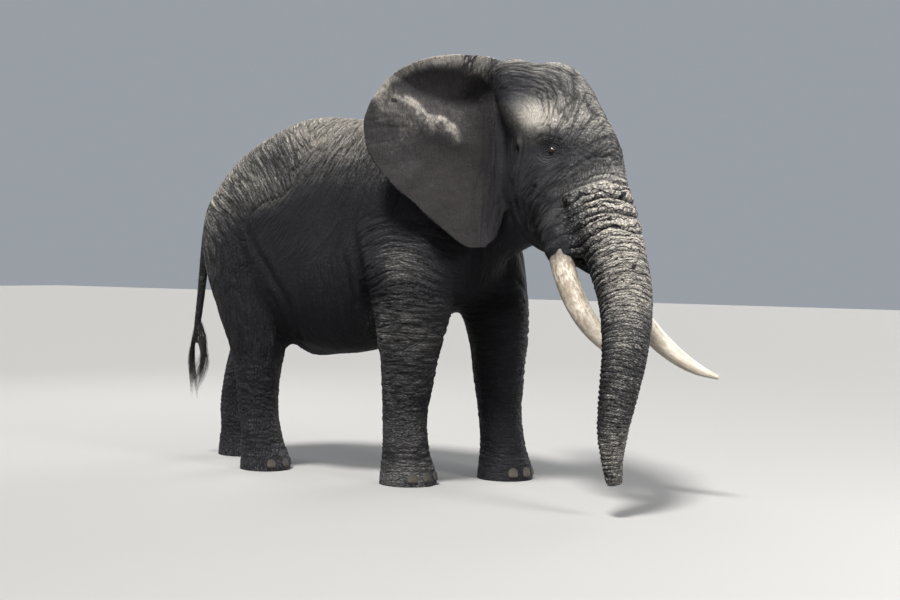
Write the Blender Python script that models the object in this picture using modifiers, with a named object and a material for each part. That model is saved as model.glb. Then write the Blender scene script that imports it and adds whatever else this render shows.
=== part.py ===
"""An African bush elephant bull, life size, standing with its trunk reaching for the ground.

Metres, +Z up, +X towards the head, +Y to the animal's left. The floor is z = 0.
The body is lofted from cross-sections, blended into one skin by voxel remeshing and
smoothing, and parted by thin cuts into the pieces a person would name. Ears, jaw, tail,
eyes, tusks and nails are solids of their own, each with a hair's breadth of air round it.
"""

import math

import bmesh
import bpy
import numpy as np
from mathutils import Matrix, Vector
from mathutils.bvhtree import BVHTree

# ---------------------------------------------------------------- driving dimensions
COLLECTION = "elephant"
HEAD_PIVOT = Vector((0.70, 0.0, 2.82))   # where the skull turns on the neck
HEAD_YAW = math.radians(-14)             # the head is turned to the animal's right
HEAD = Matrix.Translation(HEAD_PIVOT) @ Matrix.Rotation(HEAD_YAW, 4, "Z")
EAR_FLARE = {-1: math.radians(38), 1: math.radians(35)}   # how far they stand out, by side
EAR_THICKNESS = 0.040
EYE_RADIUS = 0.030
EYE_PLACE = (0.785, 0.035)               # fore and up, in the head's frame
PARTING = 0.0008                         # width of the cut between two pieces
LOOSENESS = 0.0008                       # air round every piece let into another
BLEND_VOXEL = 0.036                      # coarse skin, for blending the big masses
SKIN_VOXEL = 0.022                       # finer skin, before it is thinned out
SKIN_TRIANGLES = 2300
EAR_THINNING = 0.22                      # share of an ear's triangles that is kept
AROUND = 36                              # corners in a cross-section
ALONG = 5                                # rings between two given cross-sections

SIDES = {"right": -1, "left": 1}
FORE = Vector((1, 0, 0))
DOWN = Vector((0, 0, -1))
LEFT = Vector((0, 1, 0))


# ---------------------------------------------------------------- shape tools
def through(rows, steps=ALONG):
    """Catmull-Rom curve through rows of numbers, with steps new rows for each gap."""
    rows = np.array(rows, float)
    padded = np.vstack([2 * rows[0] - rows[1], rows, 2 * rows[-1] - rows[-2]])
    made = []
    for i in range(len(rows) - 1):
        a, b, c, d = padded[i : i + 4]
        for t in np.arange(steps) / steps:
            linear = (c - a) * t
            square = (2 * a - 5 * b + 4 * c - d) * t**2
            cube = (3 * b - a - 3 * c + d) * t**3
            made.append(0.5 * (2 * b + linear + square + cube))
    made.append(rows[-1])
    return np.array(made)


def ring(centre, side, fore, width, front, back, around, fullness=2.05):
    """Corners of a superellipse: width to each side, front and back along fore."""
    corners = []
    for k in range(around):
        c = math.cos(2 * math.pi * k / around)
        s = math.sin(2 * math.pi * k / around)
        u = math.copysign(abs(c) ** (2 / fullness), c) * width
        v = math.copysign(abs(s) ** (2 / fullness), s) * (front if s > 0 else back)
        corners.append(centre + side * u + fore * v)
    return corners


def linked(name, mesh):
    """A new object, in the model's own collection."""
    made = bpy.data.objects.new(name, mesh)
    home = bpy.data.collections.get(COLLECTION)
    if home is None:
        home = bpy.data.collections.new(COLLECTION)
        bpy.context.scene.collection.children.link(home)
    home.objects.link(made)
    return made


def mesh_object(name, vertices, faces):
    mesh = bpy.data.meshes.new(name)
    mesh.from_pydata([tuple(v) for v in vertices], [], faces)
    bm = bmesh.new()
    bm.from_mesh(mesh)
    bmesh.ops.recalc_face_normals(bm, faces=bm.faces)
    bm.to_mesh(mesh)
    bm.free()
    return linked(name, mesh)


def loft(name, rows, fixed=None, place=None, around=AROUND, steps=ALONG):
    """A closed tube through rows of (x, y, z, half width, front, back).

    Sections stand square to the path, or keep the direction fixed where it is given.
    """
    rows = through(rows, steps)
    points = [Vector(r[:3]) for r in rows]
    vertices, faces = [], []
    for i, row in enumerate(rows):
        before, after = points[max(i - 1, 0)], points[min(i + 1, len(points) - 1)]
        tangent = fixed or (after - before).normalized()
        fore = tangent.cross(LEFT).normalized()
        across = fore.cross(tangent).normalized()
        sizes = (max(v, 0.004) for v in row[3:6])
        vertices += ring(points[i], across, fore, *sizes, around)
    for i in range(len(rows) - 1):
        for k in range(around):
            a, b = i * around + k, i * around + (k + 1) % around
            faces.append((a, b, b + around, a + around))
    faces.append(tuple(range(around)))
    faces.append(tuple(range((len(rows) - 1) * around, len(rows) * around)))
    made = mesh_object(name, vertices, faces)
    if place is not None:
        made.data.transform(place)
    return made


def ball(name, matrix, radii, segments=16):
    """An ellipsoid."""
    mesh = bpy.data.meshes.new(name)
    bm = bmesh.new()
    bmesh.ops.create_uvsphere(bm, u_segments=segments, v_segments=segments // 2 + 1, radius=1)
    bm.to_mesh(mesh)
    bm.free()
    mesh.transform(matrix @ Matrix.Diagonal((*radii, 1)))
    return linked(name, mesh)


def modified(thing, kind, **settings):
    """Apply one modifier to an object and keep the result as its mesh."""
    modifier = thing.modifiers.new(kind.lower(), kind)
    for key, value in settings.items():
        setattr(modifier, key, value)
    graph = bpy.context.evaluated_depsgraph_get()
    mesh = bpy.data.meshes.new_from_object(thing.evaluated_get(graph))
    thing.modifiers.clear()
    old = thing.data
    thing.data = mesh
    bpy.data.meshes.remove(old)
    return thing


def joined(name, things):
    """Put several meshes into one object, without blending them."""
    bm = bmesh.new()
    for thing in things:
        bm.from_mesh(thing.data)
        bpy.data.objects.remove(thing)
    mesh = bpy.data.meshes.new(name)
    bm.to_mesh(mesh)
    bm.free()
    return linked(name, mesh)


def copied(thing, name):
    return linked(name, thing.data.copy())


def grown(thing, distance):
    """The same shape with its skin moved out by distance."""
    bm = bmesh.new()
    bm.from_mesh(thing.data)
    bmesh.ops.recalc_face_normals(bm, faces=bm.faces)
    bm.normal_update()
    moved = [(v, v.co + v.normal * distance) for v in bm.verts]
    for v, place in moved:
        v.co = place
    bm.to_mesh(thing.data)
    bm.free()
    return thing


def combine(thing, other, operation):
    """Exact Boolean with another object, which is then thrown away."""
    modified(thing, "BOOLEAN", object=other, operation=operation, solver="EXACT")
    bpy.data.objects.remove(other)
    bm = bmesh.new()
    bm.from_mesh(thing.data)
    bmesh.ops.triangulate(bm, faces=bm.faces)
    bm.to_mesh(thing.data)
    bm.free()
    return thing


# ---------------------------------------------------------------- the big masses
def torso():
    # x, y, z of the widest height, half width, up to the back, down to the belly
    rows = [
        (-2.25, 0, 2.18, 0.13, 0.20, 0.16),
        (-2.19, 0, 2.16, 0.30, 0.49, 0.44),
        (-2.06, 0, 2.14, 0.45, 0.65, 0.64),
        (-1.86, 0, 2.11, 0.56, 0.86, 0.74),
        (-1.57, 0, 2.07, 0.64, 1.065, 0.84),
        (-1.20, 0, 2.04, 0.71, 1.21, 0.94),
        (-0.80, 0, 2.04, 0.73, 1.19, 0.97),
        (-0.45, 0, 2.06, 0.68, 1.15, 0.93),
        (-0.10, 0, 2.12, 0.61, 1.17, 0.82),
        (0.20, 0, 2.18, 0.52, 1.10, 0.72),
        (0.45, 0, 2.27, 0.41, 0.90, 0.66),
        (0.66, 0, 2.34, 0.30, 0.62, 0.55),
        (0.78, 0, 2.37, 0.13, 0.32, 0.32),
    ]
    return loft("torso", rows, fixed=FORE)


def neck():
    rows = [
        (-0.10, 0, 2.32, 0.50, 0.80, 0.60),
        (0.25, 0, 2.46, 0.44, 0.68, 0.64),
        (0.60, 0, 2.56, 0.38, 0.60, 0.62),
        (0.95, -0.04, 2.64, 0.34, 0.52, 0.54),
        (1.20, -0.10, 2.68, 0.28, 0.40, 0.42),
    ]
    return loft("neck", rows)


# Legs from the top down: x, height, distance from the middle, half width, front, back.
LEG_FRONT_RIGHT = [
    (0.10, 2.87, 0.28, 0.10, 0.22, 0.24),
    (0.07, 2.57, 0.34, 0.19, 0.34, 0.36),
    (0.06, 2.17, 0.385, 0.25, 0.41, 0.41),
    (0.05, 1.82, 0.395, 0.27, 0.40, 0.40),
    (0.06, 1.52, 0.395, 0.265, 0.36, 0.36),
    (0.04, 1.22, 0.385, 0.245, 0.285, 0.30),
    (0.01, 0.91, 0.38, 0.22, 0.245, 0.24),
    (-0.01, 0.58, 0.38, 0.195, 0.20, 0.205),
    (0.00, 0.30, 0.38, 0.205, 0.215, 0.21),
    (0.02, 0.10, 0.38, 0.24, 0.255, 0.24),
    (0.02, -0.06, 0.38, 0.245, 0.26, 0.245),
]
LEG_FRONT_LEFT = [
    (0.16, 2.87, 0.28, 0.10, 0.22, 0.24),
    (0.18, 2.57, 0.34, 0.19, 0.36, 0.36),
    (0.26, 2.17, 0.385, 0.25, 0.44, 0.42),
    (0.37, 1.82, 0.395, 0.26, 0.40, 0.40),
    (0.47, 1.52, 0.395, 0.255, 0.33, 0.34),
    (0.52, 1.22, 0.385, 0.24, 0.275, 0.28),
    (0.53, 0.91, 0.38, 0.22, 0.24, 0.24),
    (0.55, 0.58, 0.38, 0.195, 0.20, 0.205),
    (0.58, 0.30, 0.38, 0.205, 0.215, 0.21),
    (0.60, 0.10, 0.38, 0.24, 0.255, 0.24),
    (0.60, -0.06, 0.38, 0.245, 0.26, 0.245),
]
LEG_HIND_RIGHT = [
    (-1.78, 2.70, 0.24, 0.14, 0.24, 0.22),
    (-1.80, 2.47, 0.30, 0.24, 0.40, 0.34),
    (-1.80, 2.12, 0.335, 0.295, 0.47, 0.41),
    (-1.73, 1.72, 0.345, 0.29, 0.43, 0.39),
    (-1.64, 1.42, 0.345, 0.265, 0.36, 0.36),
    (-1.60, 1.12, 0.34, 0.23, 0.28, 0.28),
    (-1.60, 0.83, 0.335, 0.195, 0.22, 0.215),
    (-1.58, 0.51, 0.335, 0.18, 0.19, 0.195),
    (-1.54, 0.27, 0.335, 0.19, 0.205, 0.195),
    (-1.51, 0.10, 0.335, 0.215, 0.24, 0.225),
    (-1.51, -0.06, 0.335, 0.22, 0.245, 0.23),
]
LEG_HIND_LEFT = [
    (-1.78, 2.70, 0.24, 0.14, 0.24, 0.22),
    (-1.80, 2.47, 0.30, 0.24, 0.40, 0.34),
    (-1.82, 2.12, 0.335, 0.295, 0.47, 0.41),
    (-1.85, 1.72, 0.345, 0.29, 0.43, 0.38),
    (-1.93, 1.42, 0.345, 0.26, 0.34, 0.33),
    (-2.08, 1.12, 0.34, 0.225, 0.27, 0.265),
    (-2.21, 0.83, 0.335, 0.19, 0.215, 0.215),
    (-2.28, 0.51, 0.335, 0.18, 0.185, 0.195),
    (-2.27, 0.27, 0.335, 0.19, 0.205, 0.195),
    (-2.25, 0.10, 0.335, 0.215, 0.24, 0.225),
    (-2.25, -0.06, 0.335, 0.22, 0.245, 0.23),
]


def leg(name, stations, side):
    """side is -1 for the right; the leg runs below the floor and is cut flat later."""
    rows = [(x, y * side, z, w, f, b) for x, z, y, w, f, b in stations]
    return loft(name, rows, fixed=DOWN)


def skull():
    rows = [
        (0.55, 0, 0.82, 0.05, 0.06, 0.08),
        (0.54, 0, 0.78, 0.16, 0.165, 0.22),
        (0.53, 0, 0.67, 0.26, 0.29, 0.35),
        (0.55, 0, 0.46, 0.335, 0.42, 0.46),
        (0.58, 0, 0.25, 0.375, 0.52, 0.52),
        (0.63, 0, 0.04, 0.40, 0.58, 0.56),
        (0.67, 0, -0.16, 0.415, 0.56, 0.56),
        (0.70, 0, -0.36, 0.415, 0.54, 0.53),
        (0.71, 0, -0.54, 0.37, 0.50, 0.46),
        (0.74, 0, -0.70, 0.29, 0.38, 0.36),
        (0.76, 0, -0.79, 0.14, 0.20, 0.20),
    ]
    return loft("skull", rows, fixed=DOWN, place=HEAD)


# The trunk's centre line, in the head's frame, with half width, front and back.
TRUNK = [
    (0.68, 0.00, 0.20, 0.24, 0.22, 0.24),
    (0.84, 0.00, -0.02, 0.27, 0.29, 0.28),
    (0.98, -0.01, -0.24, 0.285, 0.28, 0.29),
    (1.135, -0.05, -0.52, 0.275, 0.265, 0.285),
    (1.305, -0.13, -0.84, 0.25, 0.245, 0.25),
    (1.48, -0.26, -1.16, 0.225, 0.22, 0.215),
    (1.62, -0.46, -1.52, 0.19, 0.19, 0.18),
    (1.65, -0.585, -1.86, 0.162, 0.16, 0.15),
    (1.635, -0.63, -2.13, 0.133, 0.133, 0.122),
    (1.64, -0.64, -2.34, 0.10, 0.103, 0.094),
    (1.65, -0.63, -2.48, 0.08, 0.083, 0.076),
    (1.655, -0.615, -2.57, 0.068, 0.070, 0.066),
]
TUSK_RIGHT = [
    (0.80, -0.27, -0.55, 0.088),
    (0.85, -0.30, -0.74, 0.095),
    (0.94, -0.335, -0.95, 0.096),
    (1.06, -0.36, -1.16, 0.093),
    (1.20, -0.37, -1.34, 0.086),
    (1.35, -0.36, -1.485, 0.070),
    (1.47, -0.33, -1.58, 0.048),
    (1.56, -0.30, -1.635, 0.020),
]
TUSK_LEFT = [
    (0.80, 0.27, -0.55, 0.088),
    (0.86, 0.30, -0.76, 0.095),
    (0.96, 0.345, -0.98, 0.096),
    (1.10, 0.385, -1.21, 0.094),
    (1.28, 0.415, -1.43, 0.088),
    (1.48, 0.44, -1.60, 0.074),
    (1.68, 0.48, -1.72, 0.050),
    (1.87, 0.53, -1.79, 0.016),
]


def trunk(name="trunk", first=0):
    return loft(name, TRUNK[first:], place=HEAD)


def tusk(name, path):
    return loft(name, [(x, y, z, r, r, r) for x, y, z, r in path], None, HEAD, 12, 2)


def jaw():
    rows = [
        (0.42, 0, -0.52, 0.22, 0.16, 0.20),
        (0.56, 0, -0.61, 0.24, 0.16, 0.19),
        (0.74, 0, -0.72, 0.21, 0.12, 0.15),
        (0.90, 0, -0.84, 0.14, 0.08, 0.10),
        (1.01, 0, -0.94, 0.08, 0.05, 0.055),
        (1.06, 0, -0.99, 0.03, 0.02, 0.02),
    ]
    return loft("jaw", rows, None, HEAD, 14, 1)


def ear_muscle(name, side):
    """Flesh that fills the corner between the crown and the top of the ear."""
    rows = [
        (0.33, 0.25, 0.83, 0.06, 0.07, 0.09),
        (0.33, 0.26, 0.77, 0.17, 0.15, 0.17),
        (0.35, 0.28, 0.63, 0.20, 0.18, 0.19),
        (0.38, 0.28, 0.45, 0.19, 0.18, 0.18),
        (0.42, 0.28, 0.28, 0.12, 0.12, 0.12),
    ]
    return loft(name, [(x, y * side, *rest) for x, y, *rest in rows], DOWN, HEAD)


def tusk_sheath(name, side):
    rows = [
        (0.72, 0.23 * side, -0.10, 0.10, 0.12, 0.12),
        (0.77, 0.26 * side, -0.35, 0.145, 0.17, 0.16),
        (0.81, 0.27 * side, -0.56, 0.15, 0.175, 0.165),
        (0.865, 0.305 * side, -0.79, 0.135, 0.15, 0.135),
        (0.90, 0.315 * side, -0.88, 0.115, 0.13, 0.11),
    ]
    return loft(name, rows, place=HEAD)


# Soft hills and hollows: place, reach along x, y, z, and height. Those on the head are
# in its frame; every one is made on both sides of the body.
BODY_HILLS = [
    ((0.22, 0.50, 2.47), (0.22, 0.30, 0.45), 0.035),    # shoulder blade
    ((-0.18, 0.58, 1.90), (0.26, 0.30, 0.22), 0.045),   # elbow
    ((-0.55, 0.70, 1.87), (0.16, 0.40, 0.60), -0.045),  # hollow behind the elbow
    ((-1.38, 0.70, 2.32), (0.28, 0.40, 0.50), -0.045),  # hollow of the flank
    ((-1.80, 0.50, 2.57), (0.30, 0.35, 0.22), 0.030),   # point of the hip
    ((-1.15, 0.00, 3.32), (0.70, 0.30, 0.40), 0.015),   # ridge of the back
    ((0.55, 0.45, 2.74), (0.22, 0.30, 0.30), -0.030),   # hollow of the neck
    ((-1.20, 0.00, 1.08), (0.15, 0.09, 0.12), 0.060),   # fold under the belly
]
HEAD_HILLS = [
    ((0.50, 0.36, 0.40), (0.17, 0.20, 0.17), 0.045),    # temple
    ((0.76, 0.38, 0.19), (0.15, 0.16, 0.06), 0.028),    # brow
    ((0.54, 0.41, 0.10), (0.12, 0.16, 0.14), -0.030),   # hollow behind the eye
    ((0.79, 0.39, 0.03), (0.075, 0.12, 0.065), -0.038),  # socket
    ((0.92, 0.36, 0.10), (0.12, 0.16, 0.22), -0.022),   # hollow before the eye
    ((0.62, 0.43, -0.28), (0.20, 0.20, 0.15), 0.030),   # cheek bone
    ((0.45, 0.43, -0.50), (0.14, 0.20, 0.16), -0.020),  # behind the cheek
    ((0.52, 0.00, 0.85), (0.30, 0.07, 0.20), -0.008),   # middle of the crown
]


def raise_hills(thing, hills, place, sides=(-1, 1)):
    """Push the skin out (or in) round each place, fading with distance."""
    mesh = thing.data
    count = len(mesh.vertices)
    where = np.empty(count * 3)
    normal = np.empty(count * 3)
    mesh.vertices.foreach_get("co", where)
    mesh.vertex_normals.foreach_get("vector", normal)
    where = where.reshape(-1, 3)
    normal = normal.reshape(-1, 3)
    back = np.array(place.inverted())
    local = where @ back[:3, :3].T + back[:3, 3]
    lift = np.zeros(count)
    for (x, y, z), reach, height in hills:
        for side in sides if y else (1,):
            away = (local - np.array((x, y * side, z))) / np.array(reach)
            lift += height * np.exp(-0.5 * (away**2).sum(1))
    mesh.vertices.foreach_set("co", (where + normal * lift[:, None]).ravel())
    mesh.update()
    return thing


# ---------------------------------------------------------------- one blended body
def body():
    """Torso, neck, head, trunk and legs as a single closed skin."""
    legs = {
        "leg_front_right": (LEG_FRONT_RIGHT, -1),
        "leg_front_left": (LEG_FRONT_LEFT, 1),
        "leg_hind_right": (LEG_HIND_RIGHT, -1),
        "leg_hind_left": (LEG_HIND_LEFT, 1),
    }
    soft = [torso(), neck(), skull(), trunk()]
    soft += [leg(name, *shape) for name, shape in legs.items()]
    soft += [tusk_sheath(f"sheath_{word}", side) for word, side in SIDES.items()]
    soft += [ear_muscle(f"ear_muscle_{word}", side) for word, side in SIDES.items()]
    made = joined("body", soft)
    modified(made, "REMESH", mode="VOXEL", voxel_size=BLEND_VOXEL)
    modified(made, "SMOOTH", factor=0.5, iterations=14)
    firm = [trunk("trunk_firm", 2)]
    firm += [leg(f"{name}_firm", shape[3:], side) for name, (shape, side) in legs.items()]
    made = joined("body", [made, *firm])
    modified(made, "REMESH", mode="VOXEL", voxel_size=SKIN_VOXEL)
    modified(made, "SMOOTH", factor=0.5, iterations=5)
    raise_hills(made, BODY_HILLS, Matrix.Identity(4))
    raise_hills(made, HEAD_HILLS, HEAD)
    return made


# The ear's free edge, from the top of its root round to the foot: back, up, out of plane.
EAR_EDGE = [
    (-0.10, 0.79, -0.12), (0.10, 0.85, -0.09), (0.34, 0.86, -0.07), (0.62, 0.82, -0.08),
    (0.88, 0.70, -0.08), (1.07, 0.47, -0.07), (1.13, 0.24, -0.05), (1.08, 0.02, -0.02),
    (0.91, -0.21, 0.02), (0.67, -0.42, 0.04), (0.45, -0.61, 0.05), (0.25, -0.76, 0.04),
    (0.08, -0.77, 0.02),
]
EAR_ROOT = [
    (-0.18, 0.70, -0.14), (-0.13, 0.55, -0.11), (-0.07, 0.38, -0.07), (-0.05, 0.18, -0.05),
    (-0.05, 0.00, -0.05), (-0.05, -0.18, -0.05), (-0.05, -0.35, -0.05), (-0.05, -0.50, -0.04),
    (-0.05, -0.67, -0.02),
]
# Relief of the ear: back, up, long reach, short reach, slope in degrees, height.
EAR_RELIEF = [
    (0.42, 0.54, 0.30, 0.14, 10, -0.085),    # bowl under the rolled rim
    (0.60, 0.34, 0.32, 0.065, 32, 0.060),    # ridge across the middle
    (0.50, 0.77, 0.42, 0.07, 0, 0.055),      # rolled rim
    (0.55, 0.02, 0.34, 0.12, 30, -0.030),    # hollow under the ridge
    (0.18, 0.10, 0.08, 0.45, 0, -0.030),     # groove beside the head
]


def ear_relief(a, b):
    height = 0.0
    for a0, b0, long, short, slope, lift in EAR_RELIEF:
        c, s = math.cos(math.radians(slope)), math.sin(math.radians(slope))
        u, v = (a - a0) * c + (b - b0) * s, (b - b0) * c - (a - a0) * s
        height += lift * math.exp(-0.5 * ((u / long) ** 2 + (v / short) ** 2))
    return height


def ear(name, side, across=9, steps=4):
    """A curved leaf with a front and a back sheet."""
    edge = through(EAR_EDGE, steps)
    root = through(EAR_ROOT, steps * 2)
    along = len(edge)
    flare = EAR_FLARE[side]
    back = Vector((-math.cos(flare), side * math.sin(flare), 0))
    out = Vector((math.sin(flare), side * math.cos(flare), 0))
    foot = Vector((0.27, 0.405 * side, 0))
    vertices, faces = [], []
    for sheet in (1, -1):
        for i in range(along):
            t = i / (along - 1)
            start = Vector(root[round(t * (len(root) - 1))])
            end = Vector(edge[i])
            for j in range(across + 1):
                s = j / across
                a, b, c = start.lerp(end, s)
                c += ear_relief(a, b) * min(1.0, 3.0 * s)
                c += EAR_THICKNESS * (1.0 - 0.55 * s**2) * 0.5 * sheet
                vertices.append(foot + back * a + out * c + Vector((0, 0, b)))
    row, sheet = across + 1, along * (across + 1)
    for i in range(along - 1):
        for j in range(across):
            a = i * row + j
            faces.append((a, a + 1, a + row + 1, a + row))
            faces.append(tuple(sheet + k for k in (a, a + row, a + row + 1, a + 1)))
        for a in (i * row, i * row + across):
            faces.append((a, a + row, a + row + sheet, a + sheet))
    for i in (0, along - 1):
        for j in range(across):
            a = i * row + j
            faces.append((a, a + 1, a + 1 + sheet, a + sheet))
    made = mesh_object(name, vertices, faces)
    made.data.transform(HEAD)
    return made


def tail(name="tail"):
    rows = [
        (-2.18, 0.0, 2.56, 0.10, 0.10, 0.10),
        (-2.34, 0.0, 2.42, 0.075, 0.085, 0.085),
        (-2.43, 0.0, 2.20, 0.055, 0.06, 0.06),
        (-2.475, 0.0, 1.92, 0.042, 0.05, 0.05),
        (-2.515, 0.0, 1.57, 0.034, 0.042, 0.042),
        (-2.555, 0.0, 1.27, 0.028, 0.036, 0.036),
        (-2.57, 0.0, 1.10, 0.022, 0.03, 0.03),
    ]
    return loft(name, rows, None, None, 10, 2)


def tail_tuft():
    rows = [
        (-2.568, 0.0, 1.18, 0.030, 0.034, 0.034),
        (-2.570, 0.0, 1.07, 0.036, 0.055, 0.055),
        (-2.575, 0.0, 0.87, 0.036, 0.085, 0.085),
        (-2.575, 0.0, 0.67, 0.030, 0.085, 0.080),
        (-2.570, 0.0, 0.52, 0.018, 0.045, 0.045),
        (-2.570, 0.0, 0.48, 0.008, 0.012, 0.012),
    ]
    return loft("tail_tuft", rows, DOWN, None, 10, 1)


# ---------------------------------------------------------------- eyes and nails
def surface(tree, start, heading):
    """Where a straight line first meets the skin."""
    hit = tree.ray_cast(start, heading)[0]
    if hit is None:
        raise ValueError(f"no skin from {start}")
    return hit


def eyes(tree):
    made = []
    fore, up = EYE_PLACE
    for word, side in SIDES.items():
        start = HEAD @ Vector((fore, side, up))
        heading = HEAD.to_3x3() @ Vector((0, -side, 0))
        centre = surface(tree, start, heading) + heading * (EYE_RADIUS * 0.45)
        made.append(ball(f"eye_{word}", Matrix.Translation(centre), (EYE_RADIUS,) * 3, 10))
    return made


# Degrees round from straight ahead, towards the outside of the foot.
TOES = {"front": (-46, -14, 18, 50), "hind": (-38, 0, 38)}
NAIL_HEIGHT = {"front": 0.078, "hind": 0.072}
NAIL_RADII = {"front": (0.024, 0.046, 0.044), "hind": (0.022, 0.042, 0.040)}
SOLE_CENTRES = {
    "front_right": (0.02, -0.38), "front_left": (0.60, 0.38),
    "hind_right": (-1.51, -0.34), "hind_left": (-2.25, 0.34),
}


def nails(tree):
    made = []
    for foot, (x, y) in SOLE_CENTRES.items():
        end, side = foot.split("_")
        for number, degrees in enumerate(TOES[end], 1):
            turn = math.radians(degrees) * SIDES[side]
            heading = Vector((math.cos(turn), math.sin(turn), 0))
            height = NAIL_HEIGHT[end]
            centre = surface(tree, Vector((x, y, height)) + heading * 0.6, -heading)
            lean = Matrix.Rotation(turn, 4, "Z") @ Matrix.Rotation(math.radians(-14), 4, "Y")
            place = Matrix.Translation(centre - heading * 0.004) @ lean
            made.append(ball(f"nail_{foot}_{number}", place, NAIL_RADII[end], 8))
    return made


# ---------------------------------------------------------------- parting
def slab(centre, normal, upright, high, wide, place=None):
    """A thin plate square to normal: high along upright, wide across it."""
    normal = Vector(normal).normalized()
    across = normal.cross(Vector(upright)).normalized()
    upward = across.cross(normal)
    turn = Matrix((normal, upward, across)).transposed().to_4x4()
    matrix = Matrix.Translation(centre) @ turn @ Matrix.Diagonal((PARTING, high, wide, 1))
    if place is not None:
        matrix = place @ matrix
    mesh = bpy.data.meshes.new("slab")
    bm = bmesh.new()
    bmesh.ops.create_cube(bm, size=1)
    bm.to_mesh(mesh)
    bm.free()
    mesh.transform(matrix)
    return linked("slab", mesh)


def level(x, y, z, rise=0.0, long=0.74, wide=0.62):
    """A cut across a leg; rise is how much higher it runs for each metre forward."""
    return slab((x, y, z), (-rise, 0, 1), (1, 0, rise), long, wide)


def trunk_cut(index, share, size):
    """A cut square to the trunk, between two of its stations."""
    a, b = (Vector(TRUNK[k][:3]) for k in (index, index + 1))
    return slab(a.lerp(b, share), b - a, (0, 1, 0), size, size, HEAD)


def cuts():
    return [
        slab((0.12, 0, 0.05), (0.94, 0, 0.34), (0, 0, 1), 1.96, 1.30, HEAD),   # nape
        slab((0.64, 0, 2.52), (0.954, 0, 0.30), (0, 0, 1), 2.00, 1.60),        # withers
        slab((-0.47, 0, 2.12), (1, 0, 0.06), (0, 0, 1), 2.60, 2.20),           # behind the elbow
        slab((-1.28, 0, 2.12), (1, 0, 0.09), (0, 0, 1), 2.60, 2.20),           # flank
        trunk_cut(4, 0.28, 0.70),
        trunk_cut(5, 0.90, 0.60),
        trunk_cut(7, 0.70, 0.50),
        level(0.05, -0.42, 1.26, 0.50, 0.92, 0.62),
        level(0.48, 0.42, 1.38, 0.50, 0.84, 0.62),
        level(-1.62, -0.39, 1.12, -0.28, 0.72, 0.64),
        level(-2.04, 0.39, 1.18, -0.22, 0.72, 0.64),
        level(0.01, -0.38, 0.80),
        level(0.54, 0.38, 0.80),
        level(-1.60, -0.34, 0.70),
        level(-2.24, 0.34, 0.70),
        level(0.01, -0.38, 0.25),
        level(0.58, 0.38, 0.25),
        level(-1.54, -0.34, 0.23),
        level(-2.27, 0.34, 0.23),
    ]


# A point inside each piece of the body, by which it gets its name.
PIECES = {
    "chest": (0.05, 0, 2.37), "belly": (-0.87, 0, 2.17), "rump": (-1.75, 0, 2.22),
    "neck": (0.72, 0, 2.57), "head": (1.30, -0.15, 2.72),
    "trunk_upper": (2.11, -0.61, 1.67), "trunk_middle": (2.15, -0.93, 1.04),
    "trunk_lower": (2.14, -1.00, 0.52),
    "leg_front_right_upper": (0.03, -0.39, 1.06), "leg_front_right_lower": (0.0, -0.38, 0.52),
    "foot_front_right": (0.02, -0.38, 0.12),
    "leg_front_left_upper": (0.52, 0.39, 1.08), "leg_front_left_lower": (0.55, 0.38, 0.52),
    "foot_front_left": (0.60, 0.38, 0.12),
    "leg_hind_right_upper": (-1.60, -0.35, 0.90), "leg_hind_right_lower": (-1.57, -0.34, 0.46),
    "foot_hind_right": (-1.52, -0.34, 0.11),
    "leg_hind_left_upper": (-2.14, 0.35, 0.94), "leg_hind_left_lower": (-2.27, 0.34, 0.46),
    "foot_hind_left": (-2.26, 0.34, 0.11),
}


def loose_pieces(thing):
    """Split a mesh into its separate shells."""
    bm = bmesh.new()
    bm.from_mesh(thing.data)
    bm.faces.ensure_lookup_table()
    seen, made = set(), []
    for first in bm.faces:
        if first.index in seen:
            continue
        shell, todo = [], [first]
        seen.add(first.index)
        while todo:
            face = todo.pop()
            shell.append(face)
            for edge in face.edges:
                for other in edge.link_faces:
                    if other.index not in seen:
                        seen.add(other.index)
                        todo.append(other)
        part = bmesh.new()
        known = {}
        for face in shell:
            corners = []
            for v in face.verts:
                if v.index not in known:
                    known[v.index] = part.verts.new(v.co)
                corners.append(known[v.index])
            part.faces.new(corners)
        bmesh.ops.triangulate(part, faces=part.faces)
        made.append(part)
    bm.free()
    bpy.data.objects.remove(thing)
    return made


def centroid(bm):
    """Centre of volume and volume of a closed shell."""
    total, moment = 0.0, Vector((0, 0, 0))
    for face in bm.faces:
        a, b, c = (v.co for v in face.verts)
        part = a.dot(b.cross(c)) / 6
        total += part
        moment += part * (a + b + c) / 4
    return moment / max(total, 1e-12), total


def name_pieces(shells):
    made = {}
    for bm in shells:
        centre, volume = centroid(bm)
        if abs(volume) > 0.0005:
            name = min(PIECES, key=lambda n: (Vector(PIECES[n]) - centre).length)
            if name in made:
                raise ValueError(f"two pieces are called {name}")
            mesh = bpy.data.meshes.new(name)
            bm.to_mesh(mesh)
            made[name] = linked(name, mesh)
        bm.free()
    if len(made) != len(PIECES):
        raise ValueError(f"missing {sorted(set(PIECES) - set(made))}")
    return made


# ---------------------------------------------------------------- assembly
COLOURS = {
    "tusk": ((0.62, 0.50, 0.34, 1), 0.35), "eye": ((0.03, 0.015, 0.008, 1), 0.10),
    "nail": ((0.22, 0.18, 0.13, 1), 0.55), "tail_tuft": ((0.01, 0.01, 0.01, 1), 0.60),
    "ear": ((0.13, 0.12, 0.12, 1), 0.85), "": ((0.10, 0.10, 0.10, 1), 0.85),
}


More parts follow.
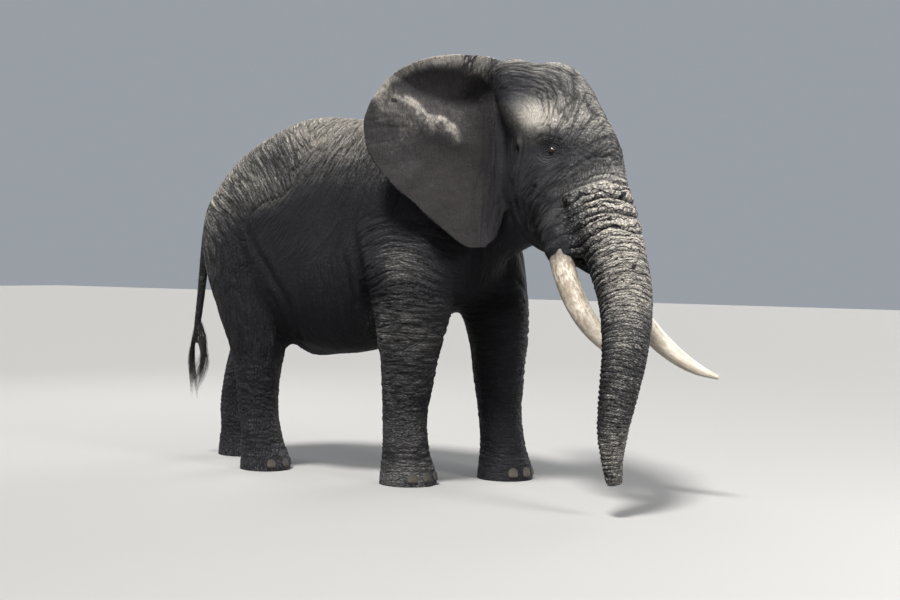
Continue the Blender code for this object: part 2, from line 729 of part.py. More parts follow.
def paint(thing):
    key = next(k for k in COLOURS if thing.name.startswith(k))
    colour, roughness = COLOURS[key]
    material = bpy.data.materials.new(f"{thing.name}_material")
    material.use_nodes = True
    shader = material.node_tree.nodes["Principled BSDF"]
    shader.inputs["Base Color"].default_value = colour
    shader.inputs["Roughness"].default_value = roughness
    thing.data.materials.clear()
    thing.data.materials.append(material)


def build():
    skin = body()
    modified(skin, "DECIMATE", ratio=SKIN_TRIANGLES / (2 * len(skin.data.polygons)))
    modified(skin, "TRIANGULATE")
    ground = slab((0, 0, -0.5), (1, 0, 0), (0, 0, 1), 1.0, 6.0)
    ground.data.transform(Matrix.Diagonal((8 / PARTING, 1, 1, 1)))
    combine(skin, ground, "DIFFERENCE")
    bm = bmesh.new()
    bm.from_mesh(skin.data)
    tree = BVHTree.FromBMesh(bm)
    bm.free()
    whole = copied(skin, "whole")
    set_in = eyes(tree) + nails(tree)
    set_in += [tusk("tusk_right", TUSK_RIGHT), tusk("tusk_left", TUSK_LEFT)]
    sockets = [grown(copied(thing, "socket"), LOOSENESS) for thing in set_in]
    combine(skin, joined("sockets", sockets), "DIFFERENCE")
    made = list(set_in)
    for thing in (jaw(), tail(), ear("ear_right", -1), ear("ear_left", 1)):
        if thing.name.startswith("ear"):
            modified(thing, "DECIMATE", ratio=EAR_THINNING)
        combine(thing, grown(copied(whole, "relief"), LOOSENESS), "DIFFERENCE")
        made.append(thing)
    bpy.data.objects.remove(whole)
    tuft = tail_tuft()
    combine(tuft, grown(copied(made[-3], "relief"), LOOSENESS), "DIFFERENCE")
    made.append(tuft)
    combine(skin, joined("cuts", cuts()), "DIFFERENCE")
    made += name_pieces(loose_pieces(skin)).values()
    return made


if __name__ == "__main__":
    for old in list(bpy.data.objects):
        bpy.data.objects.remove(old)
    for piece in build():
        paint(piece)
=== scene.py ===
# %% [markdown]
# # A life-size African bush elephant bull
# The model is one still body. A frame of plain solids gives the sizes, and this lesson
# lays a single wrinkled skin over it, then sets in eyes, tusks, toenails and tail hair.
# Everything is in metres: +X runs from tail to head, +Y to the animal's left, +Z up,
# and the floor is z = 0.

# %% Load the frame
import math
from itertools import product

import bmesh
import bpy
import numpy as np
from mathutils import Matrix, Vector
from mathutils.bvhtree import BVHTree
from mathutils.kdtree import KDTree


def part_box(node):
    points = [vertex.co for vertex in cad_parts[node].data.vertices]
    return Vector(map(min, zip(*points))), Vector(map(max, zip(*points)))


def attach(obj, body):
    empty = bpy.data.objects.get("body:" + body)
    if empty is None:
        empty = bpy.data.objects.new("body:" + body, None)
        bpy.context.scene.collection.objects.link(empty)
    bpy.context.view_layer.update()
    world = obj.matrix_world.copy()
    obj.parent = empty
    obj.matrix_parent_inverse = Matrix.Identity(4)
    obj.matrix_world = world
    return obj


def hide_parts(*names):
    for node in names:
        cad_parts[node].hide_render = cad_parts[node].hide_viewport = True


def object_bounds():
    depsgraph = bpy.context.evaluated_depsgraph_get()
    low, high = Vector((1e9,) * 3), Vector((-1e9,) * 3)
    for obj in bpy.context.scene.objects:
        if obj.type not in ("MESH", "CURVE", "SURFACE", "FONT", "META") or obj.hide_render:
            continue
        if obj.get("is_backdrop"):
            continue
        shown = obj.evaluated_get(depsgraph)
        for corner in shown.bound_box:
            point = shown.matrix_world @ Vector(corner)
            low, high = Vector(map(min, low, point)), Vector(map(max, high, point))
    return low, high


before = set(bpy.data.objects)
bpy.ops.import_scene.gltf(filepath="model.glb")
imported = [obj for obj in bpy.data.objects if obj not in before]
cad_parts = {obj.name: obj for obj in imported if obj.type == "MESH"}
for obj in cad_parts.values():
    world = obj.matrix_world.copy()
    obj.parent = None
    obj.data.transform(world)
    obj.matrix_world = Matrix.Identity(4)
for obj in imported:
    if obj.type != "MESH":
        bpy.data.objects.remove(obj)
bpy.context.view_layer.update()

FLESH = [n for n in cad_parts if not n.startswith(("eye", "tusk", "nail", "tail_tuft"))]

# %% [markdown]
# ## Two ways of measuring
# The head is turned to the animal's right, so its parts are easier to place in a frame
# of their own: fore, left and up from the point where the skull turns on the neck.
# Body parts use plain world coordinates. `SIDES` lets one function make both sides.

# %% Frames of reference
HEAD_PIVOT = Vector((0.70, 0.0, 2.82))
HEAD_YAW = math.radians(-14)
HEAD = Matrix.Translation(HEAD_PIVOT) @ Matrix.Rotation(HEAD_YAW, 4, "Z")
SIDES = {"right": -1, "left": 1}
FORE, LEFT, DOWN = Vector((1, 0, 0)), Vector((0, 1, 0)), Vector((0, 0, -1))
print("head turned by", round(math.degrees(HEAD_YAW)), "degrees; quick run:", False)

# %% [markdown]
# ## The lofting tools
# Nearly every mass of an animal is a bent tube whose girth changes along the way. It
# could be sculpted by hand, but a few stations are easier to measure and to move.
# `through` draws a smooth curve through them, and `loft` sweeps a rounded section
# along it. The frame's solids use the same stations, so skin and solids agree.

# %% Lofting
def through(rows, steps=5):
    """Catmull-Rom curve through rows of numbers, with steps new rows for each gap."""
    rows = np.array(rows, float)
    padded = np.vstack([2 * rows[0] - rows[1], rows, 2 * rows[-1] - rows[-2]])
    made = []
    for i in range(len(rows) - 1):
        a, b, c, d = padded[i : i + 4]
        for t in np.arange(steps) / steps:
            square = (2 * a - 5 * b + 4 * c - d) * t**2
            cube = (3 * b - a - 3 * c + d) * t**3
            made.append(0.5 * (2 * b + (c - a) * t + square + cube))
    made.append(rows[-1])
    return np.array(made)


def ring(centre, side, fore, width, front, back, around, fullness=2.05):
    """Corners of a superellipse: width to each side, front and back along fore."""
    corners = []
    for k in range(around):
        c, s = math.cos(2 * math.pi * k / around), math.sin(2 * math.pi * k / around)
        u = math.copysign(abs(c) ** (2 / fullness), c) * width
        v = math.copysign(abs(s) ** (2 / fullness), s) * (front if s > 0 else back)
        corners.append(centre + side * u + fore * v)
    return corners


def outward(mesh):
    bm = bmesh.new()
    bm.from_mesh(mesh)
    bmesh.ops.recalc_face_normals(bm, faces=bm.faces)
    bm.to_mesh(mesh)
    bm.free()


def mesh_object(name, vertices, faces):
    mesh = bpy.data.meshes.new(name)
    mesh.from_pydata([tuple(v) for v in vertices], [], faces)
    outward(mesh)
    made = bpy.data.objects.new(name, mesh)
    bpy.context.scene.collection.objects.link(made)
    return made


def loft(name, rows, fixed=None, place=None, around=36, steps=5):
    """A closed tube through rows of (x, y, z, half width, front, back)."""
    rows = through(rows, steps)
    points = [Vector(r[:3]) for r in rows]
    vertices, faces = [], []
    for i, row in enumerate(rows):
        before, after = points[max(i - 1, 0)], points[min(i + 1, len(points) - 1)]
        tangent = fixed or (after - before).normalized()
        fore = tangent.cross(LEFT).normalized()
        across = fore.cross(tangent).normalized()
        sizes = (max(v, 0.004) for v in row[3:6])
        vertices += ring(points[i], across, fore, *sizes, around)
    for i in range(len(rows) - 1):
        for k in range(around):
            a, b = i * around + k, i * around + (k + 1) % around
            faces.append((a, b, b + around, a + around))
    faces.append(tuple(range(around)))
    faces.append(tuple(range((len(rows) - 1) * around, len(rows) * around)))
    made = mesh_object(name, vertices, faces)
    if place is not None:
        made.data.transform(place)
    return made


print("three stations give", len(through([(0, 1), (1, 2), (2, 0)])), "rows of a curve")

# %% [markdown]
# ## Torso and neck
# The barrel hangs between shoulders and hips, highest in the middle of the back. Torso
# and neck are swept along the spine. Each station says where it is, how far the body
# reaches to the sides, and how far up and down.

# %% Torso and neck
TORSO = [
    (-2.25, 0, 2.18, 0.13, 0.20, 0.16), (-2.19, 0, 2.16, 0.30, 0.49, 0.44),
    (-2.06, 0, 2.14, 0.45, 0.65, 0.64), (-1.86, 0, 2.11, 0.56, 0.86, 0.74),
    (-1.57, 0, 2.07, 0.64, 1.065, 0.84), (-1.20, 0, 2.04, 0.71, 1.21, 0.94),
    (-0.80, 0, 2.04, 0.73, 1.19, 0.97), (-0.45, 0, 2.06, 0.68, 1.15, 0.93),
    (-0.10, 0, 2.12, 0.61, 1.17, 0.82), (0.20, 0, 2.18, 0.52, 1.10, 0.72),
    (0.45, 0, 2.27, 0.41, 0.90, 0.66), (0.66, 0, 2.34, 0.30, 0.62, 0.55),
    (0.78, 0, 2.37, 0.13, 0.32, 0.32),
]
NECK = [
    (-0.10, 0, 2.32, 0.50, 0.80, 0.60), (0.25, 0, 2.46, 0.44, 0.68, 0.64),
    (0.60, 0, 2.56, 0.38, 0.60, 0.62), (0.95, -0.04, 2.64, 0.34, 0.52, 0.54),
    (1.20, -0.10, 2.68, 0.28, 0.40, 0.42),
]
print("stations in torso and neck", len(TORSO), len(NECK))

# %% [markdown]
# ## Legs
# An elephant's legs are pillars. These take one long stride: the left front and left
# hind feet are apart, the right ones close together. Each leg starts high inside the
# body, so that shoulder and hip bulge, and runs on through the floor, where it is
# sliced flat later. A station holds x, height, distance from the middle, half width,
# and the reach forward and back.

# %% Legs
LEGS = {
    "front_right": [
        (0.10, 2.87, 0.28, 0.10, 0.22, 0.24), (0.07, 2.57, 0.34, 0.19, 0.34, 0.36),
        (0.06, 2.17, 0.385, 0.25, 0.41, 0.41), (0.05, 1.82, 0.395, 0.27, 0.40, 0.40),
        (0.06, 1.52, 0.395, 0.265, 0.36, 0.36), (0.04, 1.22, 0.385, 0.245, 0.285, 0.30),
        (0.01, 0.91, 0.38, 0.22, 0.245, 0.24), (-0.01, 0.58, 0.38, 0.195, 0.20, 0.205),
        (0.00, 0.30, 0.38, 0.205, 0.215, 0.21), (0.02, 0.10, 0.38, 0.24, 0.255, 0.24),
        (0.02, -0.06, 0.38, 0.245, 0.26, 0.245),
    ],
    "front_left": [
        (0.16, 2.87, 0.28, 0.10, 0.22, 0.24), (0.18, 2.57, 0.34, 0.19, 0.36, 0.36),
        (0.26, 2.17, 0.385, 0.25, 0.44, 0.42), (0.37, 1.82, 0.395, 0.26, 0.40, 0.40),
        (0.47, 1.52, 0.395, 0.255, 0.33, 0.34), (0.52, 1.22, 0.385, 0.24, 0.275, 0.28),
        (0.53, 0.91, 0.38, 0.22, 0.24, 0.24), (0.55, 0.58, 0.38, 0.195, 0.20, 0.205),
        (0.58, 0.30, 0.38, 0.205, 0.215, 0.21), (0.60, 0.10, 0.38, 0.24, 0.255, 0.24),
        (0.60, -0.06, 0.38, 0.245, 0.26, 0.245),
    ],
    "hind_right": [
        (-1.78, 2.70, 0.24, 0.14, 0.24, 0.22), (-1.80, 2.47, 0.30, 0.24, 0.40, 0.34),
        (-1.80, 2.12, 0.335, 0.295, 0.47, 0.41), (-1.73, 1.72, 0.345, 0.29, 0.43, 0.39),
        (-1.64, 1.42, 0.345, 0.265, 0.36, 0.36), (-1.60, 1.12, 0.34, 0.23, 0.28, 0.28),
        (-1.60, 0.83, 0.335, 0.195, 0.22, 0.215), (-1.58, 0.51, 0.335, 0.18, 0.19, 0.195),
        (-1.54, 0.27, 0.335, 0.19, 0.205, 0.195), (-1.51, 0.10, 0.335, 0.215, 0.24, 0.225),
        (-1.51, -0.06, 0.335, 0.22, 0.245, 0.23),
    ],
    "hind_left": [
        (-1.78, 2.70, 0.24, 0.14, 0.24, 0.22), (-1.80, 2.47, 0.30, 0.24, 0.40, 0.34),
        (-1.82, 2.12, 0.335, 0.295, 0.47, 0.41), (-1.85, 1.72, 0.345, 0.29, 0.43, 0.38),
        (-1.93, 1.42, 0.345, 0.26, 0.34, 0.33), (-2.08, 1.12, 0.34, 0.225, 0.27, 0.265),
        (-2.21, 0.83, 0.335, 0.19, 0.215, 0.215), (-2.28, 0.51, 0.335, 0.18, 0.185, 0.195),
        (-2.27, 0.27, 0.335, 0.19, 0.205, 0.195), (-2.25, 0.10, 0.335, 0.215, 0.24, 0.225),
        (-2.25, -0.06, 0.335, 0.22, 0.245, 0.23),
    ],
}


def leg(name, first=0):
    side = SIDES[name.split("_")[1]]
    rows = [(x, y * side, z, w, f, b) for x, z, y, w, f, b in LEGS[name][first:]]
    return loft(f"leg_{name}", rows, fixed=DOWN)


print("feet at x", {name: stations[-1][0] for name, stations in LEGS.items()})

# %% [markdown]
# ## Head, trunk and tail
# The skull is a tall dome, swept from crown to jaw, and the trunk is a second tube that
# starts inside it and swings to the animal's right. The sheaths that hold the tusks
# and the muscles at the roots of the ears are short tubes too. All of them are given
# in the head's frame, except the tail, which starts inside the rump.

# %% Skull, trunk, jaw, sheaths and tail
SKULL = [
    (0.55, 0, 0.82, 0.05, 0.06, 0.08), (0.54, 0, 0.78, 0.16, 0.165, 0.22),
    (0.53, 0, 0.67, 0.26, 0.29, 0.35), (0.55, 0, 0.46, 0.335, 0.42, 0.46),
    (0.58, 0, 0.25, 0.375, 0.52, 0.52), (0.63, 0, 0.04, 0.40, 0.58, 0.56),
    (0.67, 0, -0.16, 0.415, 0.56, 0.56), (0.70, 0, -0.36, 0.415, 0.54, 0.53),
    (0.71, 0, -0.54, 0.37, 0.50, 0.46), (0.74, 0, -0.70, 0.29, 0.38, 0.36),
    (0.76, 0, -0.79, 0.14, 0.20, 0.20),
]
TRUNK = [
    (0.68, 0.00, 0.20, 0.24, 0.22, 0.24), (0.84, 0.00, -0.02, 0.27, 0.29, 0.28),
    (0.98, -0.01, -0.24, 0.285, 0.28, 0.29), (1.135, -0.05, -0.52, 0.275, 0.265, 0.285),
    (1.305, -0.13, -0.84, 0.25, 0.245, 0.25), (1.48, -0.26, -1.16, 0.225, 0.22, 0.215),
    (1.62, -0.46, -1.52, 0.19, 0.19, 0.18), (1.65, -0.585, -1.86, 0.162, 0.16, 0.15),
    (1.635, -0.63, -2.13, 0.133, 0.133, 0.122), (1.64, -0.64, -2.34, 0.10, 0.103, 0.094),
    (1.65, -0.63, -2.48, 0.08, 0.083, 0.076), (1.655, -0.615, -2.57, 0.068, 0.070, 0.066),
]
JAW = [
    (0.42, 0, -0.52, 0.22, 0.16, 0.20), (0.56, 0, -0.61, 0.24, 0.16, 0.19),
    (0.74, 0, -0.72, 0.21, 0.12, 0.15), (0.90, 0, -0.84, 0.14, 0.08, 0.10),
    (1.01, 0, -0.94, 0.08, 0.05, 0.055), (1.06, 0, -0.99, 0.03, 0.02, 0.02),
]
TUSK_SHEATH = [
    (0.72, 0.23, -0.10, 0.10, 0.12, 0.12), (0.77, 0.26, -0.35, 0.145, 0.17, 0.16),
    (0.81, 0.27, -0.56, 0.15, 0.175, 0.165), (0.865, 0.305, -0.79, 0.135, 0.15, 0.135),
    (0.90, 0.315, -0.88, 0.115, 0.13, 0.11),
]
EAR_MUSCLE = [
    (0.33, 0.25, 0.83, 0.06, 0.07, 0.09), (0.33, 0.26, 0.77, 0.17, 0.15, 0.17),
    (0.35, 0.28, 0.63, 0.20, 0.18, 0.19), (0.38, 0.28, 0.45, 0.19, 0.18, 0.18),
    (0.42, 0.28, 0.28, 0.12, 0.12, 0.12),
]
TAIL = [
    (-2.18, 0.0, 2.56, 0.10, 0.10, 0.10), (-2.34, 0.0, 2.42, 0.075, 0.085, 0.085),
    (-2.43, 0.0, 2.20, 0.055, 0.06, 0.06), (-2.475, 0.0, 1.92, 0.042, 0.05, 0.05),
    (-2.515, 0.0, 1.57, 0.034, 0.042, 0.042), (-2.555, 0.0, 1.27, 0.028, 0.036, 0.036),
    (-2.57, 0.0, 1.10, 0.022, 0.03, 0.03),
]


def sheath(side):
    rows = [(x, y * side, z, w, f, b) for x, y, z, w, f, b in TUSK_SHEATH]
    return loft("sheath", rows, place=HEAD)


def ear_muscle(side):
    rows = [(x, y * side, z, w, f, b) for x, y, z, w, f, b in EAR_MUSCLE]
    return loft("ear_muscle", rows, fixed=DOWN, place=HEAD)


print("stations in skull, trunk and tail", len(SKULL), len(TRUNK), len(TAIL))

# %% [markdown]
# ## Melting the masses together
# Flesh has no seams. Booleans would join the tubes but leave sharp creases, so a voxel
# remesh swallows every overlap and leaves one closed skin. Smoothing then rounds the
# joins, as flesh does. Legs and trunk are added again after the first pass, because
# heavy smoothing would thin them.

# %% Mesh helpers
def modified(thing, kind, **settings):
    """Apply one modifier and keep the result as the object's mesh."""
    modifier = thing.modifiers.new(kind.lower(), kind)
    for key, value in settings.items():
        setattr(modifier, key, value)
    graph = bpy.context.evaluated_depsgraph_get()
    mesh = bpy.data.meshes.new_from_object(thing.evaluated_get(graph))
    thing.modifiers.clear()
    old = thing.data
    thing.data = mesh
    bpy.data.meshes.remove(old)
    return thing


def joined(name, things):
    bm = bmesh.new()
    for thing in things:
        bm.from_mesh(thing.data)
        bpy.data.objects.remove(thing)
    mesh = bpy.data.meshes.new(name)
    bm.to_mesh(mesh)
    bm.free()
    made = bpy.data.objects.new(name, mesh)
    bpy.context.scene.collection.objects.link(made)
    return made


def read(mesh, what="co"):
    """Vertex places or normals as an array of three columns."""
    values = np.empty(len(mesh.vertices) * 3, np.float32)
    if what == "co":
        mesh.vertices.foreach_get("co", values)
    else:
        mesh.vertex_normals.foreach_get("vector", values)
    return values.reshape(-1, 3)


def write(mesh, places):
    mesh.vertices.foreach_set("co", places.astype(np.float32).ravel())
    mesh.update()


# %% Blend
BLEND_VOXEL, BODY_VOXEL = 0.036, 0.022
soft = [loft("torso", TORSO, fixed=FORE), loft("neck", NECK)]
soft += [loft("skull", SKULL, fixed=DOWN, place=HEAD), loft("trunk", TRUNK, place=HEAD)]
soft += [leg(name) for name in LEGS]
soft += [part(side) for part in (sheath, ear_muscle) for side in SIDES.values()]
body = modified(joined("body", soft), "REMESH", mode="VOXEL", voxel_size=BLEND_VOXEL)
modified(body, "SMOOTH", factor=0.5, iterations=14)
firm = [loft("trunk", TRUNK[2:], place=HEAD)] + [leg(name, 3) for name in LEGS]
body = joined("body", [body, *firm])
modified(body, "REMESH", mode="VOXEL", voxel_size=BODY_VOXEL)
modified(body, "SMOOTH", factor=0.5, iterations=5)
print("blended body", len(body.data.vertices), "points")

# %% [markdown]
# ## Muscles and hollows
# Bone and muscle show through the hide, and the blended form is too even. More tubes
# would make it lumpy. Soft bell-shaped hills, each with its own reach along x, y and z,
# raise the shoulder blade, elbow, temple and cheek bone instead, and sink the flank,
# the eye socket and the hollows of the head.

# %% Hills
BODY_HILLS = [
    ((0.22, 0.50, 2.47), (0.22, 0.30, 0.45), 0.035),    # shoulder blade
    ((-0.18, 0.58, 1.90), (0.26, 0.30, 0.22), 0.045),   # elbow
    ((-0.55, 0.70, 1.87), (0.16, 0.40, 0.60), -0.045),  # hollow behind the elbow
    ((-1.38, 0.70, 2.32), (0.28, 0.40, 0.50), -0.045),  # hollow of the flank
    ((-1.80, 0.50, 2.57), (0.30, 0.35, 0.22), 0.030),   # point of the hip
    ((-1.15, 0.00, 3.32), (0.70, 0.30, 0.40), 0.015),   # ridge of the back
    ((0.55, 0.45, 2.74), (0.22, 0.30, 0.30), -0.030),   # hollow of the neck
    ((-1.20, 0.00, 1.08), (0.15, 0.09, 0.12), 0.060),   # fold under the belly
]
HEAD_HILLS = [
    ((0.50, 0.36, 0.40), (0.17, 0.20, 0.17), 0.045),    # temple
    ((0.76, 0.38, 0.19), (0.15, 0.16, 0.06), 0.028),    # brow
    ((0.54, 0.41, 0.10), (0.12, 0.16, 0.14), -0.030),   # hollow behind the eye
    ((0.79, 0.39, 0.03), (0.075, 0.12, 0.065), -0.038),  # socket
    ((0.92, 0.36, 0.10), (0.12, 0.16, 0.22), -0.022),   # hollow before the eye
    ((0.62, 0.43, -0.28), (0.20, 0.20, 0.15), 0.030),   # cheek bone
    ((0.45, 0.43, -0.50), (0.14, 0.20, 0.16), -0.020),  # behind the cheek
    ((0.52, 0.00, 0.85), (0.30, 0.07, 0.20), -0.008),   # middle of the crown
]


def in_frame(places, matrix):
    """The same points as measured in another frame."""
    back = np.array(matrix.inverted(), np.float32)
    return places @ back[:3, :3].T + back[:3, 3]


def hills(local, table, sides=(-1, 1)):
    """Sum of bell-shaped lifts at points given in the table's own frame."""
    lift = np.zeros(len(local), np.float32)
    for (x, y, z), reach, height in table:
        for side in sides if y else (1,):
            away = (local - np.array((x, y * side, z), np.float32)) / np.array(reach, np.float32)
            lift += height * np.exp(-0.5 * (away**2).sum(1))
    return lift


for frame_of, table in ((Matrix.Identity(4), BODY_HILLS), (HEAD, HEAD_HILLS)):
    places = read(body.data)
    lift = hills(in_frame(places, frame_of), table)
    write(body.data, places + read(body.data, "normal") * lift[:, None])
    print("hills from", round(float(lift.min()), 3), "to", round(float(lift.max()), 3))

# %% [markdown]
# ## The ears
# An ear is a thin curved leaf. Its free edge and its root are two short curves, and
# the sheet between them is spanned by straight lines, then pushed in and out by a few
# long soft ridges: the rolled rim, the bowl under it, and the bar across the middle.
# A front and a back sheet, closed at the edges, give it thickness.

# %% Ear leaf
EAR_FLARE = {-1: math.radians(38), 1: math.radians(35)}
EAR_THICKNESS = 0.040
EAR_EDGE = [
    (-0.10, 0.79, -0.12), (0.10, 0.85, -0.09), (0.34, 0.86, -0.07), (0.62, 0.82, -0.08),
    (0.88, 0.70, -0.08), (1.07, 0.47, -0.07), (1.13, 0.24, -0.05), (1.08, 0.02, -0.02),
    (0.91, -0.21, 0.02), (0.67, -0.42, 0.04), (0.45, -0.61, 0.05), (0.25, -0.76, 0.04),
    (0.08, -0.77, 0.02),
]
EAR_ROOT = [
    (-0.18, 0.70, -0.14), (-0.14, 0.55, -0.13), (-0.11, 0.38, -0.12), (-0.10, 0.18, -0.12),
    (-0.10, 0.00, -0.12), (-0.10, -0.18, -0.12), (-0.10, -0.35, -0.11), (-0.07, -0.52, -0.08),
    (-0.02, -0.68, -0.03),
]
EAR_RELIEF = [
    (0.42, 0.54, 0.30, 0.14, 10, -0.100),    # bowl under the rolled rim
    (0.60, 0.33, 0.32, 0.085, 32, 0.050),    # ridge across the middle
    (0.50, 0.77, 0.42, 0.07, 0, 0.055),      # rolled rim
    (0.50, -0.02, 0.30, 0.12, 30, -0.018),   # hollow under the ridge
    (0.18, 0.10, 0.08, 0.45, 0, -0.030),     # groove beside the head
]


def ear_axes(side):
    """Foot of the ear, and its directions back and out, in the head's frame."""
    flare = EAR_FLARE[side]
    back = Vector((-math.cos(flare), side * math.sin(flare), 0))
    out = Vector((math.sin(flare), side * math.cos(flare), 0))
    return Vector((0.27, 0.405 * side, 0)), back, out


def ear_relief(a, b):
    height = 0.0
    for a0, b0, long, short, slope, lift in EAR_RELIEF:
        c, s = math.cos(math.radians(slope)), math.sin(math.radians(slope))
        u, v = (a - a0) * c + (b - b0) * s, (b - b0) * c - (a - a0) * s
        height += lift * math.exp(-0.5 * ((u / long) ** 2 + (v / short) ** 2))
    return height


def ear(side, across=30, steps=10):
    edge, root = through(EAR_EDGE, steps), through(EAR_ROOT, steps * 2)
    along = len(edge)
    foot, back, out = ear_axes(side)
    vertices, faces = [], []
    for sheet in (1, -1):
        for i in range(along):
            start = Vector(root[round(i / (along - 1) * (len(root) - 1))])
            for j in range(across + 1):
                s = j / across
                a, b, c = start.lerp(Vector(edge[i]), s)
                c += ear_relief(a, b) * min(1.0, 3.0 * s)
                c += EAR_THICKNESS * (1.0 - 0.45 * s**2) * 0.5 * sheet
                vertices.append(foot + back * a + out * c + Vector((0, 0, b)))
    row, sheet = across + 1, along * (across + 1)
    for i in range(along - 1):
        for j in range(across):
            a = i * row + j
            faces.append((a, a + 1, a + row + 1, a + row))
            faces.append(tuple(sheet + k for k in (a, a + row, a + row + 1, a + 1)))
        for a in (i * row, i * row + across):
            faces.append((a, a + row, a + row + sheet, a + sheet))
    for i in (0, along - 1):
        for j in range(across):
            a = i * row + j
            faces.append((a, a + 1, a + 1 + sheet, a + sheet))
    made = mesh_object("ear", vertices, faces)
    made.data.transform(HEAD)
    return made


ears = {side: ear(side) for side in SIDES.values()}
jaw = loft("jaw", JAW, None, HEAD, 24, 4)
tail = loft("tail", TAIL, None, None, 20, 6)
print("ear leaves", [len(e.data.vertices) for e in ears.values()])

# %% [markdown]
# ## One skin
# Body, ears, jaw and tail are melted once more, at a voxel small enough for the thin
# ears and for folds of skin. That gives over half a million small faces, so no
# subdivision is needed. The ears' roots are smoothed a little more than the rest.

# %% Remesh everything as one
SKIN_VOXEL = 0.0095
tree_of = {}
for key, thing in {"body": body, -1: ears[-1], 1: ears[1], "tail": tail}.items():
    corners = [v.co for v in thing.data.vertices]
    tree_of[key] = BVHTree.FromPolygons(corners, [p.vertices for p in thing.data.polygons])
skin = joined("skin", [body, *ears.values(), jaw, tail])
modified(skin, "REMESH", mode="VOXEL", voxel_size=SKIN_VOXEL)
modified(skin, "SMOOTH", factor=0.5, iterations=9)
local = in_frame(read(skin.data), HEAD)
join_group = skin.vertex_groups.new(name="ear_join")
for side in SIDES.values():
    foot, back, out = (np.array(v, np.float32) for v in ear_axes(side))
    near = np.abs((local - foot) @ back + 0.01) < 0.09
    near &= (np.abs((local - foot) @ out) < 0.22) & (np.abs(local[:, 2]) < 0.75)
    join_group.add(np.nonzero(near)[0].tolist(), 1.0, "REPLACE")
modified(skin, "SMOOTH", factor=0.5, iterations=24, vertex_group="ear_join")
skin.vertex_groups.clear()
print("melted skin", len(skin.data.vertices), "points")

# %% [markdown]
# ## Soles and sockets
# A standing foot spreads flat. One cut at the floor does that better than pressing
# points down, and the holes it leaves are filled. Round the eyes the mesh is divided
# twice, because the lids need points that are millimetres apart.

# %% Flat soles and finer eyes
EYE_CENTRE = {word: (Vector(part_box(f"eye_{word}")[0]) + Vector(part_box(f"eye_{word}")[1])) / 2
              for word in SIDES}
bm = bmesh.new()
bm.from_mesh(skin.data)
everything = bm.verts[:] + bm.edges[:] + bm.faces[:]
cut = bmesh.ops.bisect_plane(bm, geom=everything, dist=1e-5, plane_co=(0, 0, 0),
                             plane_no=(0, 0, -1), clear_outer=True)
rims = [e for e in cut["geom_cut"] if isinstance(e, bmesh.types.BMEdge)]
bmesh.ops.holes_fill(bm, edges=rims, sides=0)
for reach in (0.13, 0.075):
    near = {v for v in bm.verts for c in EYE_CENTRE.values() if (v.co - c).length < reach}
    edges = {e for v in near for e in v.link_edges}
    bmesh.ops.subdivide_edges(bm, edges=list(edges), cuts=1, use_grid_fill=True)
bm.to_mesh(skin.data)
bm.free()
print("one skin", len(skin.data.vertices), "points")

# %% [markdown]
# ## Noise for skin
# Wrinkles need two kinds of noise, both worked out for all points at once with numpy.
# `noise` is smooth and drifts up and down. `cracks` scatters one seed in each cell of
# a grid and measures how far a point is from the border between its two nearest seeds:
# zero in the crack, rising to the middle of the plate. Stretching the space before
# asking makes the plates long, and long plates are what wrinkled skin is made of.

# %% Noise
LATTICE = 64
dice = np.random.default_rng(11)
SLOPES = dice.normal(size=(LATTICE**3, 3)).astype(np.float32)
SLOPES /= np.linalg.norm(SLOPES, axis=1, keepdims=True)
SEEDS = dice.random((LATTICE**3, 3), dtype=np.float32)


def looked_up(table, cell):
    c = cell & (LATTICE - 1)
    return table[(c[:, 0] * LATTICE + c[:, 1]) * LATTICE + c[:, 2]]


def noise(p):
    """Smooth noise, about -1 to 1, one bump for each unit of length."""
    cell = np.floor(p).astype(np.int32)
    f = (p - cell).astype(np.float32)
    ease = f * f * (3 - 2 * f)
    total = np.zeros(len(p), np.float32)
    for corner in product((0, 1), repeat=3):
        c = np.array(corner, np.int32)
        share = np.prod(np.where(c == 1, ease, 1 - ease), axis=1)
        total += share * ((f - c) * looked_up(SLOPES, cell + c)).sum(1)
    return 1.6 * total


def cracks(p):
    """Distance to the nearest border between cells, 0 in the crack."""
    cell = np.floor(p).astype(np.int32)
    f = (p - cell).astype(np.float32)
    first = np.full(len(p), 9.0, np.float32)
    second = first.copy()
    for offset in product((-1, 0, 1), repeat=3):
        o = np.array(offset, np.int32)
        away = ((looked_up(SEEDS, cell + o) + o - f) ** 2).sum(1)
        second = np.minimum(second, np.maximum(first, away))
        first = np.minimum(first, away)
    return np.sqrt(second) - np.sqrt(first)


def rise(x, low, high):
    """0 below low, 1 above high, and a soft step between."""
    t = np.clip((x - low) / (high - low), 0, 1)
    return t * t * (3 - 2 * t)


print("noise lattice", LATTICE, "cells a side")

# %% [markdown]
# ## Where am I on the body?
# Folds run differently on every part, so each point first learns where it is: how far
# along the trunk and on which side of it, how high up which leg, its place on the
# head, and its place on an ear. A trunk or leg is measured as if it were straightened,
# so that rings stay square to it round every bend.

# %% Straightened trunk
here = read(skin.data)
facing = read(skin.data, "normal")
on_head = in_frame(here, HEAD)

trunk_line = through(TRUNK, 24)
line = trunk_line[:, :3].astype(np.float32)
ahead = np.gradient(line, axis=0)
ahead /= np.linalg.norm(ahead, axis=1, keepdims=True)
line_fore = np.cross(ahead, np.array((0, 1, 0), np.float32))
line_fore /= np.linalg.norm(line_fore, axis=1, keepdims=True)
line_side = np.cross(line_fore, ahead)
travelled = np.concatenate([[0], np.cumsum(np.linalg.norm(np.diff(line, axis=0), axis=1))])
girth = trunk_line[:, 3]

